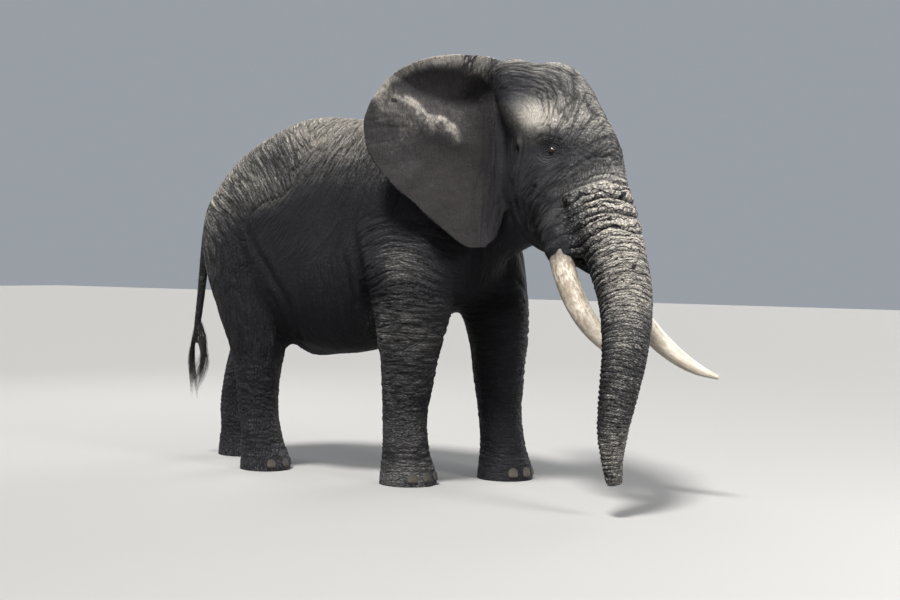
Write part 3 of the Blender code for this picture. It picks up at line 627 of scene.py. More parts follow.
nearest = np.zeros(len(here), np.int32)
BLOCK, COARSE = 50000, 4
for start in range(0, len(here), BLOCK):
    block = on_head[start : start + BLOCK]
    gap = ((block[:, None, :] - line[None, ::COARSE, :]) ** 2).sum(2)
    nearest[start : start + BLOCK] = gap.argmin(1) * COARSE
for _ in range(2):
    off = on_head - line[nearest]
    step = (off * ahead[nearest]).sum(1)
    nearest = np.clip(np.searchsorted(travelled, travelled[nearest] + step), 0, len(line) - 1)
off = on_head - line[nearest]
down_trunk = (travelled[nearest] + (off * ahead[nearest]).sum(1)).astype(np.float32)
trunk_side = (off * line_side[nearest]).sum(1)
trunk_fore = (off * line_fore[nearest]).sum(1)
from_line = np.hypot(trunk_side, trunk_fore)
in_trunk = rise(1.45 * girth[nearest] - from_line, 0, 0.05)
print("trunk length", round(float(travelled[-1]), 2))

# %% Head, ears, legs and tail as soft shares
ear_share, ear_place = {}, {}
for side in SIDES.values():
    foot, back, out = (np.array(v, np.float32) for v in ear_axes(side))
    rel = on_head - foot
    a, b = rel @ back, rel[:, 2]
    ear_place[side] = np.stack([a, b, rel @ out], axis=1)
    could = (a > -0.2) & (a < 1.25) & (b > -0.9) & (b < 0.95)
    could &= np.abs(ear_place[side][:, 2]) < 0.35
    gap = np.full(len(here), 9.0, np.float32)
    for i in np.nonzero(could)[0]:
        gap[i] = tree_of[side].find_nearest(Vector(here[i].tolist()))[3]
    wavy = a + 0.05 * noise(here / 0.16) + 0.02 * noise(here / 0.05)
    ear_share[side] = (1 - rise(gap, 0.010, 0.03)) * rise(wavy, 0.00, 0.14)
on_ear = np.maximum(ear_share[-1], ear_share[1])

LEG_TOP, LEG_ASIDE = 1.75, 0.38
leg_place = np.zeros((len(here), 3), np.float32)
leg_index = np.zeros(len(here), np.int32)
closest = np.full(len(here), 9.0, np.float32)
for number, (name, stations) in enumerate(LEGS.items(), 1):
    rows = np.array(stations)[::-1]
    side = SIDES[name.split("_")[1]]
    centre = np.interp(here[:, 2], rows[:, 1], rows[:, 0])
    rel = np.stack([here[:, 0] - centre, here[:, 1] - side * LEG_ASIDE, here[:, 2]], axis=1)
    gap = np.hypot(rel[:, 0], rel[:, 1]).astype(np.float32)
    nearer = gap < closest
    closest[nearer], leg_index[nearer], leg_place[nearer] = gap[nearer], number, rel[nearer]
leg_share = (1 - rise(here[:, 2], 1.25, LEG_TOP)) * (1 - rise(closest, 0.42, 0.55))
front_leg = leg_index <= 2
on_tail = rise(-here[:, 0], 2.28, 2.36) * rise(here[:, 2], 0.9, 1.0) * (np.abs(here[:, 1]) < 0.12)
on_tail *= (here[:, 0] < np.interp(here[:, 2], [1.0, 2.2, 2.7], [-2.3, -2.32, -2.22]))
leg_share *= 1 - on_tail
on_trunk = in_trunk * rise(down_trunk, 0.45, 0.8) * (1 - on_ear)
head_share = rise(on_head[:, 0], 0.10, 0.30) * (1 - rise(-on_head[:, 2], 0.75, 0.95))
head_share *= (1 - on_ear) * (1 - on_trunk) * (1 - leg_share)
torso_share = (1 - head_share) * (1 - on_ear) * (1 - on_trunk) * (1 - leg_share) * (1 - on_tail)
print("shares", {k: round(float(v.mean()), 3) for k, v in (("ear", on_ear), ("leg", leg_share),
      ("trunk", on_trunk), ("head", head_share), ("torso", torso_share), ("tail", on_tail))})

# %% [markdown]
# ## Laying folds
# `lay` adds one pattern where its share of the skin is worth having. It also keeps a
# second record, `shade`, of how deep in a crack each point is, and the colour paints
# shade into the cracks from it. Cracks only go inwards, so the skin never grows.

# %% Fold tools
relief = np.zeros(len(here), np.float32)
shade = np.zeros(len(here), np.float32)
x, y, z = here.T
hx, hy, hz = on_head.T
aside = np.abs(y)


def plates(p, soft=0.16):
    """0 in a crack, rising quickly to 1 on the plate."""
    return 1 - np.exp(-cracks(p) / soft)


def strands(p, soft=0.16):
    """0 along wandering lines that split and join, rising quickly to 1 between."""
    return 1 - np.exp(-np.abs(noise(p) + 0.35 * noise(2.1 * p + 5.0)) / soft)


def lay(share, depth, columns, soft=0.16, wander=0.35, dark=1.0, kind=plates):
    """Cut a pattern of folds; columns are the three stretched coordinates."""
    where = np.nonzero(share > 0.02)[0]
    p = np.stack([c[where] if np.ndim(c) else np.full(len(where), c) for c in columns], axis=1)
    p = p.astype(np.float32)
    p[:, 0] += wander * noise(p * 0.45 + 7.3)
    value = kind(p, soft)
    relief[where] -= share[where] * depth * (1 - value)
    # painted shade: the deeper in a crack, the darker the colour will be
    shade[where] = np.maximum(shade[where], share[where] * (1 - value) ** 0.6 * dark)


def bell(distance, reach):
    return np.exp(-0.5 * (distance / reach) ** 2)


def off_line(u, v, points):
    """Distance from a smooth line of points, and which side of it each place is on."""
    points = through(points, 6)
    best = np.full(len(u), 9.0, np.float32)
    beyond = np.zeros(len(u), np.float32)
    for a, b in zip(points[:-1], points[1:]):
        run = b - a
        t = np.clip(((u - a[0]) * run[0] + (v - a[1]) * run[1]) / (run @ run), 0, 1)
        gap = np.hypot(u - a[0] - t * run[0], v - a[1] - t * run[1])
        nearer = gap < best
        best[nearer] = gap[nearer]
        cross = run[0] * (v - a[1]) - run[1] * (u - a[0])
        beyond[nearer] = np.sign(cross[nearer])
    return best, beyond


def groove(share, u, v, points, width, depth, lip=0.4):
    """A fold along a line of points in the plane of u and v, with a swollen lip."""
    best, beyond = off_line(u, v, points)
    relief[:] += share * depth * (lip * bell(best - 1.9 * width, width) * (beyond > 0)
                                  - bell(best, 0.75 * width))
    # painted shade along the bottom of the fold
    shade[:] = np.maximum(shade, share * 0.9 * bell(best, 0.6 * width))


print("points to lay folds on", len(here))

# %% [markdown]
# ## Folds of the barrel
# The hide hangs from the spine in two directions. Behind a wandering border it runs in
# arcs round the root of the tail, and in front of it the folds fan out over the flank,
# leaning back at the hip and upright at the shoulder. Both are wandering strands laid
# in stretched space, at two sizes. They are deep on the slack back and rump and faint
# on the tight flank, and a small net hides the place where they meet.

# %% Two directions
behind = np.where(x < -1.7, np.arctan2(-1.7 - x, aside + 0.25), 0)
before = np.where(x > 0.3, np.arctan2(x - 0.3, aside + 0.2), 0)
around_body = np.where(x < -1.7, -1.7 - 0.65 * behind, np.where(x > 0.3, 0.3 + 0.55 * before, x))
border = np.interp(z, [2.20, 2.45, 2.60, 3.20], [-1.60, -1.35, -1.00, -1.05])
border += 0.16 * noise(here / 0.22 + 2.0) + 0.06 * noise(here / 0.07)
at_border = torso_share * bell(x - border, 0.035)
hip_share = torso_share * (1 - rise(x - border, 0.01, 0.12))
side_share = torso_share * rise(x - border, -0.12, -0.01)
lay(at_border, 0.0060, (x / 0.026, y / 0.026, z / 0.030), 0.20, 0.3, 0.9)
TAIL_ROOT_X, TAIL_ROOT_Z = -2.35, 1.85
round_tail = np.hypot(around_body - TAIL_ROOT_X, np.maximum(z - TAIL_ROOT_Z, 0))
UPRIGHT_BELOW, HINGE = 1.9, 2.3
lean = np.interp(x, [-1.4, -0.9, -0.4, 0.2], [1.0, 0.65, 0.25, 0.0])
fan = around_body - (np.maximum(z, UPRIGHT_BELOW) - HINGE) * lean
print("hip", round(float(hip_share.mean()), 3), "side", round(float(side_share.mean()), 3))

# %% Barrel
# This line also borders painted light: the barrel is painted lighter above it and darker below.
slack_and_light_line = np.interp(x, [-2.07, -1.53, -1.16, -0.95, -0.63, -0.27],
                       [2.35, 2.31, 2.35, 2.49, 2.57, 2.61])
upper = rise(z + 0.10 * noise(here * 3.0) + 0.03 * noise(here * 9.0) - slack_and_light_line, -0.22, 0.24)
for share, across_folds in ((hip_share, round_tail), (side_share, fan)):
    lay(share * (0.40 + 0.60 * upper), 0.0110, (across_folds / 0.040, y / 0.30, z / 0.30), 0.22,
        0.20, kind=strands)
    lay(share * (0.45 + 0.55 * upper), 0.0065, (across_folds / 0.025, y / 0.16, z / 0.16), 0.24,
        0.15, 0.8, strands)
lay(torso_share * (0.4 + 0.6 * upper), 0.0040, (fan / 0.026, y / 0.050, z / 0.044), 0.16, dark=0.3)
rump_share = torso_share * (1 - rise(x, -1.75, -1.35)) * (1 - rise(z, 2.7, 2.95))
lay(rump_share, 0.0090, (round_tail / 0.046, y / 0.24, z / 0.24), 0.24, 0.25, 1.0, strands)
slack = torso_share * bell(x + 0.40, 0.20) * bell(z - 1.85, 0.45) * rise(aside, 0.2, 0.4)
lay(slack, 0.020, (fan / 0.13, y / 1.1, z / 1.1), 0.20, 0.3, 0.9, strands)
neck_part = torso_share * rise(x, 0.42, 0.60)
lay(neck_part, 0.012, (around_body / 0.085, y / 0.7, z / 0.6), 0.22, 0.3, 0.9, strands)
rump_net = torso_share * (1 - rise(x, -2.1, -1.7)) * (1 - rise(z, 2.5, 2.8))
lay(rump_net, 0.0050, (around_body / 0.034, y / 0.034, z / 0.034), 0.18, dark=0.35)
print("barrel done, deepest", round(float(relief.min()), 4))

# %% [markdown]
# ## Folds where the legs join
# A walking leg drags the hide along: one deep fold runs down in front of the thigh and
# one behind the elbow, with shallow ones beside them. These few are drawn one by one,
# as grooves along lines of points. The shoulder itself is crossed by arcs that turn
# level where they reach the forearm.

# %% Folds where the legs join
flank = rise(aside, 0.22, 0.34) * (leg_share + torso_share)
patchy = flank * np.clip(0.75 + 0.6 * noise(here / 0.22), 0.2, 1)
groove(patchy * rise(2.25 - z, 0.0, 0.35), x, z,
       [(-1.55, 2.20), (-1.40, 1.98), (-1.24, 1.76), (-1.10, 1.52), (-1.12, 1.25)], 0.045, 0.026)
groove(patchy, x, z, [(-1.30, 1.62), (-1.22, 1.42), (-1.24, 1.22)], 0.030, 0.014)
groove(patchy * rise(2.28 - z, 0.0, 0.3), x, z,
       [(-0.40, 2.25), (-0.36, 2.00), (-0.33, 1.70), (-0.32, 1.45), (-0.28, 1.25)], 0.036, 0.042)
groove(patchy * rise(2.10 - z, 0.0, 0.25), x, z, [(-0.52, 2.10), (-0.47, 1.85), (-0.44, 1.55)],
       0.028, 0.014)
shoulder = (leg_share + torso_share) * rise(x, -0.42, -0.28) * (1 - rise(x, 0.45, 0.62))
shoulder *= rise(z, 1.45, 1.65) * (1 - rise(z, 2.15, 2.45)) * rise(aside, 0.2, 0.35)
ARM_X, ARM_Z = 0.08, 1.45
arch = np.hypot(x - ARM_X, np.maximum(z - ARM_Z, 0))
arm_arc = arch + (z - ARM_Z - arch) * (1 - rise(z, 1.50, 1.85))
lay(shoulder, 0.012, (arm_arc / 0.050, x / 0.40, y / 0.4), 0.20, 0.25, 0.6, strands)
lay(shoulder, 0.007, (arm_arc / 0.030, x / 0.22, y / 0.22), 0.22, 0.2, 0.8, strands)
print("joins done, deepest", round(float(relief.min()), 4))

# %% [markdown]
# ## Folds of the legs
# The forearm is ringed, the thigh is creased lengthways, and knees, shins and ankles
# carry plates that get smaller towards the foot. Each leg is measured from its own
# middle line, so one set of patterns serves all four.

# %% Leg folds
fore_off, side_off, height = leg_place.T
column = front_leg * (1 - rise(closest, 0.42, 0.55)) * (1 - rise(height, 1.58, 1.78))
rear_edge = np.interp(height, [0.90, 1.20, 1.50, 1.70], [-0.12, -0.20, -0.32, -0.40])
column *= rise(fore_off + 0.07 * noise(here * 4.0) - rear_edge, -0.06, 0.06)
fore_arm = column * rise(height, 0.80, 1.05)
lay(fore_arm, 0.0100, (height / 0.052, side_off / 0.30, fore_off / 0.30), 0.20, 0.3, 1.0, strands)
lay(fore_arm, 0.0055, (height / 0.028, side_off / 0.16, fore_off / 0.16), 0.22, 0.3, 0.8, strands)
thigh = leg_share * rise(height, 0.85, 1.10) * (1 - fore_arm)
lay(thigh, 0.0120, (fore_off / 0.060, side_off / 0.060, height / 0.50), 0.20, 0.25, 1.0, strands)
lay(thigh, 0.0060, (fore_off / 0.034, side_off / 0.034, height / 0.22), 0.22, 0.25, 0.9, strands)
knee = leg_share * bell(height - np.where(front_leg, 0.78, 0.70), 0.22)
lay(knee, 0.0085, (height / 0.046, fore_off / 0.15, side_off / 0.15), 0.22, 0.5)
shin = leg_share * (1 - rise(height, 0.95, 1.15)) * rise(height, 0.05, 0.12)
lay(shin, 0.0065, (height / 0.032, fore_off / 0.050, side_off / 0.050), 0.16, dark=0.5)
ankle = leg_share * bell(height - 0.27, 0.10)
lay(ankle, 0.0095, (height / 0.050, fore_off / 0.25, side_off / 0.25), 0.25, 0.6)
print("legs done")

# %% [markdown]
# ## The trunk
# A trunk is ringed from brow to tip. The rings are far apart and deep at the root,
# and crowd together towards the tip. Counting rings along the trunk, and letting the
# count wander a little round it, gives folds that split and join. Short upright cracks
# between the rings and two rows of knobs along the underside finish it.

# %% Trunk rings
RING_PLACES = [0.30, 0.80, 1.05, 1.35, 1.70, 2.20, 3.20]
RING_SPACING = [0.15, 0.125, 0.095, 0.066, 0.050, 0.042, 0.030]
fine = np.linspace(0, 3.4, 700)
rings_before = np.concatenate([[0], np.cumsum(np.diff(fine) / np.interp(
    fine[1:], RING_PLACES, RING_SPACING))])
count = np.interp(down_trunk, fine, rings_before).astype(np.float32)
straight = np.stack([trunk_side, trunk_fore, down_trunk], axis=1)
waver = noise(straight / 0.17) + 0.5 * noise(straight / 0.07 + 3.0)
valley = 1 - np.exp(-np.abs(np.sin(np.pi * (count + 0.30 * waver))) / 0.22)
ring_depth = np.interp(down_trunk, [0.3, 0.8, 1.3, 1.8, 2.4, 3.1],
                       [0.012, 0.030, 0.024, 0.018, 0.014, 0.009]).astype(np.float32)
broken = np.clip(0.75 + 0.7 * noise(straight / 0.12 + 9.0), 0.15, 1)
brow = rise(hx - 0.55 * (0.45 - hz), 0.52, 0.72) * head_share * rise(down_trunk, 0.25, 0.5)
ringed = np.maximum(on_trunk, brow)
relief -= ringed * ring_depth * broken * (1 - valley)
# painted shade in the valleys between the trunk's rings
shade = np.maximum(shade, ringed * (1 - valley) * broken)
at_root = 1 - rise(down_trunk, 1.05, 1.45)
lay(ringed * at_root, 0.0085, (trunk_side / 0.036, trunk_fore / 0.036, count * 0.6),
    0.20, 0.2, 0.6)
lay(ringed * (1 - 0.6 * at_root), 0.0060, (count * 2.0, trunk_side / 0.045, trunk_fore / 0.045),
    0.20, 0.3, 0.55)
lay(ringed * rise(down_trunk, 0.9, 1.3), 0.0050,
    (count * 1.0, trunk_side / 0.16, trunk_fore / 0.16), 0.22, 0.9, 0.8)
KNOB_ANGLE = 2.25
round_trunk = np.abs(np.arctan2(trunk_side, trunk_fore))
knobs = on_trunk * rise(down_trunk, 0.95, 1.15) * bell(round_trunk - KNOB_ANGLE, 0.35)
bump = 0.5 + 0.5 * np.cos(2 * np.pi * (count + 0.30 * waver + 0.5))
relief += knobs * 0.010 * (bump - 0.8) * np.interp(down_trunk, [1.0, 3.1], [1.3, 0.5])
print("trunk rings", round(float(rings_before[-1])))

# %% [markdown]
# ## The head
# Thin hide over bone wrinkles along the forms: arcs over the temple, rings round the
# eye, upright folds along the back of the cheek and slanting ones across it. Each is a
# pattern in a space of its own, such as the distance from the temple or from the eye,
# so it bends with the skull without being drawn.

# %% Head folds
EYE_FORE, EYE_UP = 0.785, 0.035
to_eye = np.hypot(0.94 * (hx - EYE_FORE), 1.25 * (hz - EYE_UP - 0.15 * (hx - EYE_FORE)))
side_head = head_share * rise(np.abs(hy), 0.18, 0.30)
TEMPLE_FORE, TEMPLE_UP = 0.50, 0.33
temple = np.hypot(hx - TEMPLE_FORE, hz - TEMPLE_UP)
temple_turn = np.arctan2(hz - TEMPLE_UP, hx - TEMPLE_FORE)
arc_side = rise(hz + 0.5 * hx, 0.40, 0.62)
arcs = (temple / 0.036, temple_turn * 2.0, hy / 0.30)
lay(head_share * arc_side * rise(temple, 0.15, 0.23), 0.0085, arcs, 0.22, 0.25, 0.9, strands)
lay(head_share * arc_side * rise(temple, 0.14, 0.22), 0.0050,
    (temple / 0.023, temple_turn * temple / 0.060, hy / 0.060), 0.18, 0.3, 0.45)
lay(side_head * (1 - rise(hz, 0.30, 0.50)), 0.0035,
    ((hx - 0.7 * hz) / 0.022, hy / 0.06, (hz + 0.7 * hx) / 0.050), 0.16, dark=0.4)
cheek = side_head * (1 - rise(hz, -0.12, 0.02)) * rise(to_eye, 0.10, 0.20)
lay(cheek * rise(hx, 0.50, 0.62), 0.0095, ((hz - 0.9 * hx) / 0.060, (hx + hz) / 0.30, hy / 0.3),
    0.22, 0.3, 0.9, strands)
lay(side_head * (1 - rise(hx, 0.50, 0.64)) * (1 - rise(hz, 0.08, 0.25)), 0.014,
    (hx / 0.065, hz / 0.60, hy / 0.4), 0.22, 0.3, 0.9, strands)
lay(head_share * rise(hx, 0.80, 0.98) * (1 - rise(hz, 0.35, 0.55)), 0.0070,
    (hz / 0.026, hy / 0.055, hx / 0.06), 0.18, dark=0.5)
eye_rings = side_head * rise(to_eye, 0.034, 0.060) * (1 - rise(to_eye, 0.13, 0.22))
wobble = 0.16 * noise(on_head / 0.05) + 0.16 * noise(on_head / 0.12)
ring_valley = 1 - np.exp(-np.abs(np.sin(np.pi * (to_eye / 0.0215 + wobble * 3.2))) / 0.40)
relief -= eye_rings * 0.0065 * (1 - ring_valley)
# painted shade in the folds round the eye
shade = np.maximum(shade, eye_rings * (1 - ring_valley) ** 0.7)
print("head folds done, darkest", round(float(shade.max()), 2))

# %% [markdown]
# ## Cheek, lip and brow
# The few deep creases that give a face its character are drawn one by one: behind and
# across the cheek, at the corner of the lip, above the eye, and four across the root
# of the trunk.

# %% Cheek, lip and brow creases
near_side = rise(np.abs(hy), 0.14, 0.22) * (head_share + on_trunk)
patchy = near_side * np.clip(0.8 + 0.6 * noise(on_head / 0.12), 0.2, 1)
groove(patchy, hx, hz, [(0.44, 0.05), (0.40, -0.25), (0.42, -0.50), (0.52, -0.68)], 0.028, 0.034)
groove(patchy, hx, hz, [(0.69, -0.27), (0.63, -0.45), (0.62, -0.69)], 0.022, 0.026)
groove(patchy, hx, hz, [(0.95, -0.40), (0.97, -0.60), (0.91, -0.93)], 0.026, 0.022)
groove(0.6 * patchy, hx, hz, [(0.64, 0.12), (0.74, 0.155), (0.86, 0.12), (0.92, 0.03)],
       0.018, 0.006)
for crease in (0.62, 0.77, 0.90, 1.05):
    across_root = down_trunk + 0.016 * waver - 0.05 * bell(trunk_side, 0.12)
    front = ringed * rise(trunk_fore, -0.05, 0.10)
    relief -= front * 0.026 * bell(across_root - crease, 0.012)
    # painted shade in the creases across the root of the trunk
    shade = np.maximum(shade, 0.95 * front * bell(across_root - crease, 0.012))
print("head done")

# %% [markdown]
# ## Ears and tail
# The ear is nearly smooth. It has a pebbled patch where it meets the crown, a bundle
# of upright folds along its root, creases that run out to the rim like the ribs of a
# leaf, and slow waves that catch the light. They are laid in the ear's own plane, so
# both ears get them. The tail is finely ringed.

# %% Ear folds
RIBS_MEET_A, RIBS_MEET_B = 0.35, 0.25
for side, share in ear_share.items():
    a, b, c = ear_place[side].T
    reach = np.hypot(a - RIBS_MEET_A, b - RIBS_MEET_B)
    turn = np.arctan2(b - RIBS_MEET_B, a - RIBS_MEET_A)
    plane = np.stack([a, b, np.zeros_like(a)], axis=1)
    relief += share * 0.006 * noise(plane / 0.16 + side) + share * 0.0025 * noise(plane / 0.06)
    ribs = np.stack([turn * 3.4, reach * 1.1, np.zeros_like(a)], axis=1)
    relief += share * rise(reach, 0.25, 0.55) * 0.012 * noise(ribs)
    lay(share * (1 - rise(a, 0.12, 0.26)) * (1 - rise(b, 0.45, 0.62)), 0.013,
        (a / 0.060, b / 0.70, c / 0.5), 0.22, 0.3, 0.9, strands)
    lay(share * (1 - rise(a, 0.25, 0.42)) * rise(b, 0.36, 0.52), 0.007,
        ((a + 0.5 * b) / 0.032, (b - 0.5 * a) / 0.085, c / 0.2), 0.22, dark=0.7)
    lay(share * rise(reach, 0.30, 0.60) * rise(b, -0.15, 0.20), 0.0080,
        (turn * 6.5, reach / 0.45, c / 0.5), 0.20, 0.4, 0.6, strands)
    lay(share * 0.8, 0.0022, (a / 0.050, b / 0.050, c / 0.2), 0.16, dark=0.45)
lay(on_tail, 0.0030, (z / 0.028, y / 0.06, x / 0.2), 0.2, 0.5)
print("relief from", round(float(relief.min()), 4), "to", round(float(relief.max()), 4))

# %% [markdown]
# ## Lids round the eye
# The eyeball is a ball sunk in its socket. Close to it the skin is pulled up over the
# ball as two thick lids, and inside an almond-shaped slit it drops behind the ball, so
# that the wet eye shows through a real opening.

# %% Lids
EYE_RADIUS = 0.030
LID_THICKNESS = 0.0045
SLIT_LONG, SLIT_HIGH = 0.0265, 0.0150
moved = here + facing * relief[:, None]
lid_shade = np.zeros(len(here), np.float32)
turn_head = np.array(HEAD.to_3x3(), np.float32)
for word, side in SIDES.items():
    rel = (moved - np.array(EYE_CENTRE[word], np.float32)) @ turn_head
    fore, up, out = rel[:, 0], rel[:, 2], rel[:, 1] * side
    close = (np.hypot(fore, up) < 0.09) & (out > -0.08)
    across = np.hypot(fore, up)
    lid = EYE_RADIUS + LID_THICKNESS
    ball = np.sqrt(np.maximum(lid**2 - across**2, 0))
    slope = lid - 1.15 * np.maximum(across - 0.012, 0)
    target = np.where(across < lid * 0.80, ball, np.minimum(slope, ball.max()))
    pull = 0.008
    blended = 0.5 * (out + target + np.sqrt((out - target) ** 2 + pull**2)) - 0.3 * pull
    along_slit = fore / SLIT_LONG
    bow = 0.0020 + SLIT_HIGH * (1 - np.minimum(along_slit**2, 1))
    slant = up - 0.10 * fore - 0.001
    inside = np.where(slant > 0, slant / (bow * 1.05 + 1e-6), -slant / (bow * 0.80 + 1e-6))
    inside = np.maximum(inside, along_slit**2)
    sunk = np.sqrt(np.maximum(EYE_RADIUS**2 - across**2, 0)) - 0.010
    open_share = 1 - rise(inside, 0.90, 1.06)
    new_out = blended * (1 - open_share) + sunk * open_share
    fold = bell(np.abs(slant) - (bow + 0.0085), 0.0022) * (across < 0.045)
    new_out -= 0.0035 * fold * (1 - open_share)
    rel[:, 1] = np.where(close, new_out * side, rel[:, 1])
    back_again = rel @ turn_head.T + np.array(EYE_CENTRE[word], np.float32)
    moved[close] = back_again[close]
    lid_shade[close] = np.maximum(fold, bell(inside - 1.0, 0.18))[close]
moved[:, 2] = np.where(here[:, 2] < 0.012, here[:, 2], np.maximum(moved[:, 2], 0.001))
write(skin.data, moved)
# painted shade in the lid folds and round the edge of the slit
shade = np.clip(np.maximum(shade, 0.8 * lid_shade), 0, 1)
print("skin faces", len(skin.data.polygons))

# %% [markdown]
# ## Dust and painted light on body, head and trunk
# Colour on an elephant is partly dust on whatever faces the sky, and here it also holds
# painted light: tops and the sides that face the lamps are lighter, and hollows, the
# flank and the far front leg get painted shade. It is worked out for every point, from
# the way the skin faces and from soft patches, with the same bell-shaped hills that
# shaped the muscles. A minus sign paints shade.

# %% Places that hold dust and painted light
# Positive hills are dust and painted light; negative ones are painted shade in hollows, on the
# flank, the thigh and the armpit.
BODY_DUST_AND_LIGHT = [
    ((-0.75, 0.35, 3.00), (0.50, 0.35, 0.22), 0.26),    # top of the barrel
    ((-1.42, 0.55, 2.54), (0.32, 0.25, 0.16), 0.32),    # hip
    ((-1.36, 0.49, 2.84), (0.16, 0.20, 0.08), -0.14),   # hollow over the hip
    ((-2.05, 0.30, 2.10), (0.24, 0.40, 0.50), 0.50),    # rump
    ((0.09, 0.64, 1.91), (0.17, 0.20, 0.09), 0.40),     # shoulder
    ((-0.10, 0.60, 2.05), (0.22, 0.20, 0.12), 0.20),    # behind it
    ((-0.14, 0.60, 1.70), (0.13, 0.25, 0.09), -0.06),   # hollow under it
    ((0.05, 0.60, 1.60), (0.25, 0.25, 0.30), 0.32),     # upper leg
    ((-0.95, 0.70, 1.95), (0.45, 0.30, 0.42), -0.30),   # tight flank
    ((-1.65, 0.50, 1.70), (0.25, 0.30, 0.40), -0.12),   # thigh
    ((-0.40, 0.60, 1.60), (0.12, 0.40, 0.50), -0.02),   # armpit
]
# Positive hills are dust and painted light, strongest on the temple and brow; the hill round the
# eye is painted shade in the socket.
HEAD_DUST_AND_LIGHT = [
    ((0.56, 0.40, 0.34), (0.15, 0.16, 0.095), 0.50),    # temple
    ((0.78, 0.34, 0.32), (0.20, 0.20, 0.12), 0.50),     # brow
    ((0.95, 0.00, 0.38), (0.26, 0.32, 0.20), 0.14),     # forehead
    ((1.10, 0.00, -0.05), (0.20, 0.24, 0.28), 0.24),    # between the eyes
    ((0.50, 0.00, 0.80), (0.25, 0.35, 0.12), 0.22),     # crown
    ((0.78, 0.40, 0.02), (0.11, 0.16, 0.09), -0.16),    # round the eye
    ((0.52, 0.42, 0.08), (0.13, 0.16, 0.12), 0.20),     # hollow behind it
    ((0.90, 0.30, -0.40), (0.20, 0.20, 0.30), 0.20),    # cheek
    ((0.60, 0.38, -0.50), (0.20, 0.20, 0.25), 0.14),    # jaw
]
print("dusty places", len(BODY_DUST_AND_LIGHT) + len(HEAD_DUST_AND_LIGHT))

# %% Dust and painted light on body, head and trunk
upward = np.clip(read(skin.data, "normal")[:, 2], -1, 1)
mottle = noise(here * 1.7) * 0.5 + noise(here * 5.0 + 2.0) * 0.35 + noise(here * 13.0) * 0.2
# skin that faces up is lighter: dust and painted light from above
dust = 0.10 + 0.22 * rise(facing[:, 2], 0.10, 0.90) + 0.24 * rise(upward, 0.1, 0.9)
# painted light on the barrel above the slack line, painted shade below it, except on the rump
dust += torso_share * (0.23 * upper - 0.10 * (1 - upper) * (1 - rise(-x, 1.6, 1.9)))
# painted light on the near front leg, painted shade on the far one
dust += leg_share * np.where(front_leg, np.where(y < 0, 0.22, -0.06), 0.04)
dust += hills(here, BODY_DUST_AND_LIGHT) * (1 - on_ear) * (1 - on_trunk) * (1 - head_share)
dust += hills(on_head, HEAD_DUST_AND_LIGHT) * head_share
# painted light on the trunk's front
dust += on_trunk * (0.16 + 0.38 * rise(trunk_fore, -0.14, 0.08))
# a darker band low on the trunk
dust -= on_trunk * 0.24 * bell(down_trunk - 2.35, 0.34)
# a lighter tip, and painted highlight on the ring crests with painted shade in the valleys
dust += on_trunk * 0.34 * rise(down_trunk, 2.60, 2.95) + ringed * 0.22 * (valley - 0.6)
print("mean dust on the trunk", round(float(dust[on_trunk > 0.5].mean()), 2))

# %% [markdown]
# ## Painted light and shade on the ears
# Painted light lies on the outer face of an ear in a pale bar under the ridge, sharp along
# the crest and fading below it, and along the rolled rim. The root and a band under the
# bar get painted shadow, and the back of the ear is kept plain. Distance from one line
# along the crest is enough to place all of it.

# %% Painted light and shade on the ears
RIDGE = [(0.98, 0.60), (0.90, 0.565), (0.81, 0.525), (0.70, 0.455), (0.59, 0.345), (0.48, 0.325),
         (0.38, 0.265), (0.29, 0.150)]
plane_of = {s: ear_place[s] * np.array((1, 1, 0), np.float32) for s in ear_place}
for side, share in ear_share.items():
    a, b, c = ear_place[side].T
    crest, under_crest = off_line(a, b, RIDGE)
    gap = np.where(under_crest > 0, crest, 0)
    lit = np.exp(-((gap / np.interp(a, [0.30, 0.45, 0.60, 0.80, 0.95],
                                    [0.060, 0.115, 0.18, 0.30, 0.38])) ** 2))
    lit *= np.where(under_crest > 0, 1, bell(crest, 0.018))
    lit *= np.interp(a, [0.24, 0.34, 0.50, 0.65, 0.80, 1.00], [0, 0.90, 0.95, 0.90, 0.82, 0.65])
    ragged = 0.85 + 0.50 * noise(plane_of[side] / 0.085 + 8.0)
    ragged = np.clip(ragged + 0.30 * noise(plane_of[side] / 0.030), 0.25, 1.25)
    lit_bar = lit * ragged
    lit_rim = rise(b - np.interp(a, [-0.05, 0.05, 0.15, 0.30, 0.50, 0.70, 0.90, 1.00],
                             [0.48, 0.58, 0.66, 0.72, 0.74, 0.70, 0.60, 0.50]), -0.03, 0.05)
    bowl = (under_crest <= 0) * rise(crest, 0.01, 0.05) * rise(a, 0.05, 0.16) * (1 - lit_rim)
    bowl *= rise(b, 0.02, 0.16)
    root_shadow = (1 - rise(a, 0.10, 0.28)) * (1 - rise(b, 0.42, 0.58))
    shadow_under_bar = bell(b - 0.05 - 0.22 * (a - 0.3), 0.055) * bell(a - 0.34, 0.20)
    patchy = rise(noise(plane_of[side] / 0.13 + 4.0), 0.15, 0.60) * 0.10
    patchy += rise(noise(plane_of[side] / 0.045 + 1.0), 0.30, 0.65) * 0.08
    outer = rise(facing @ np.array(HEAD.to_3x3() @ ear_axes(side)[2], np.float32), -0.30, 0.20)
    # painted light on the bar, painted shadow at the root and under the bar
    dust += share * outer * (0.98 * lit_bar + 0.15 * bowl - 0.10 * root_shadow - 0.14 * shadow_under_bar - patchy)
    # painted light along the rolled rim
    dust += share * (0.80 * lit_rim * (0.35 + 0.65 * outer) - 0.10)
dust = np.clip(dust * (1 + 0.40 * mottle), 0, 1)
print("dust from", round(float(dust.min()), 2), "to", round(float(dust.max()), 2))

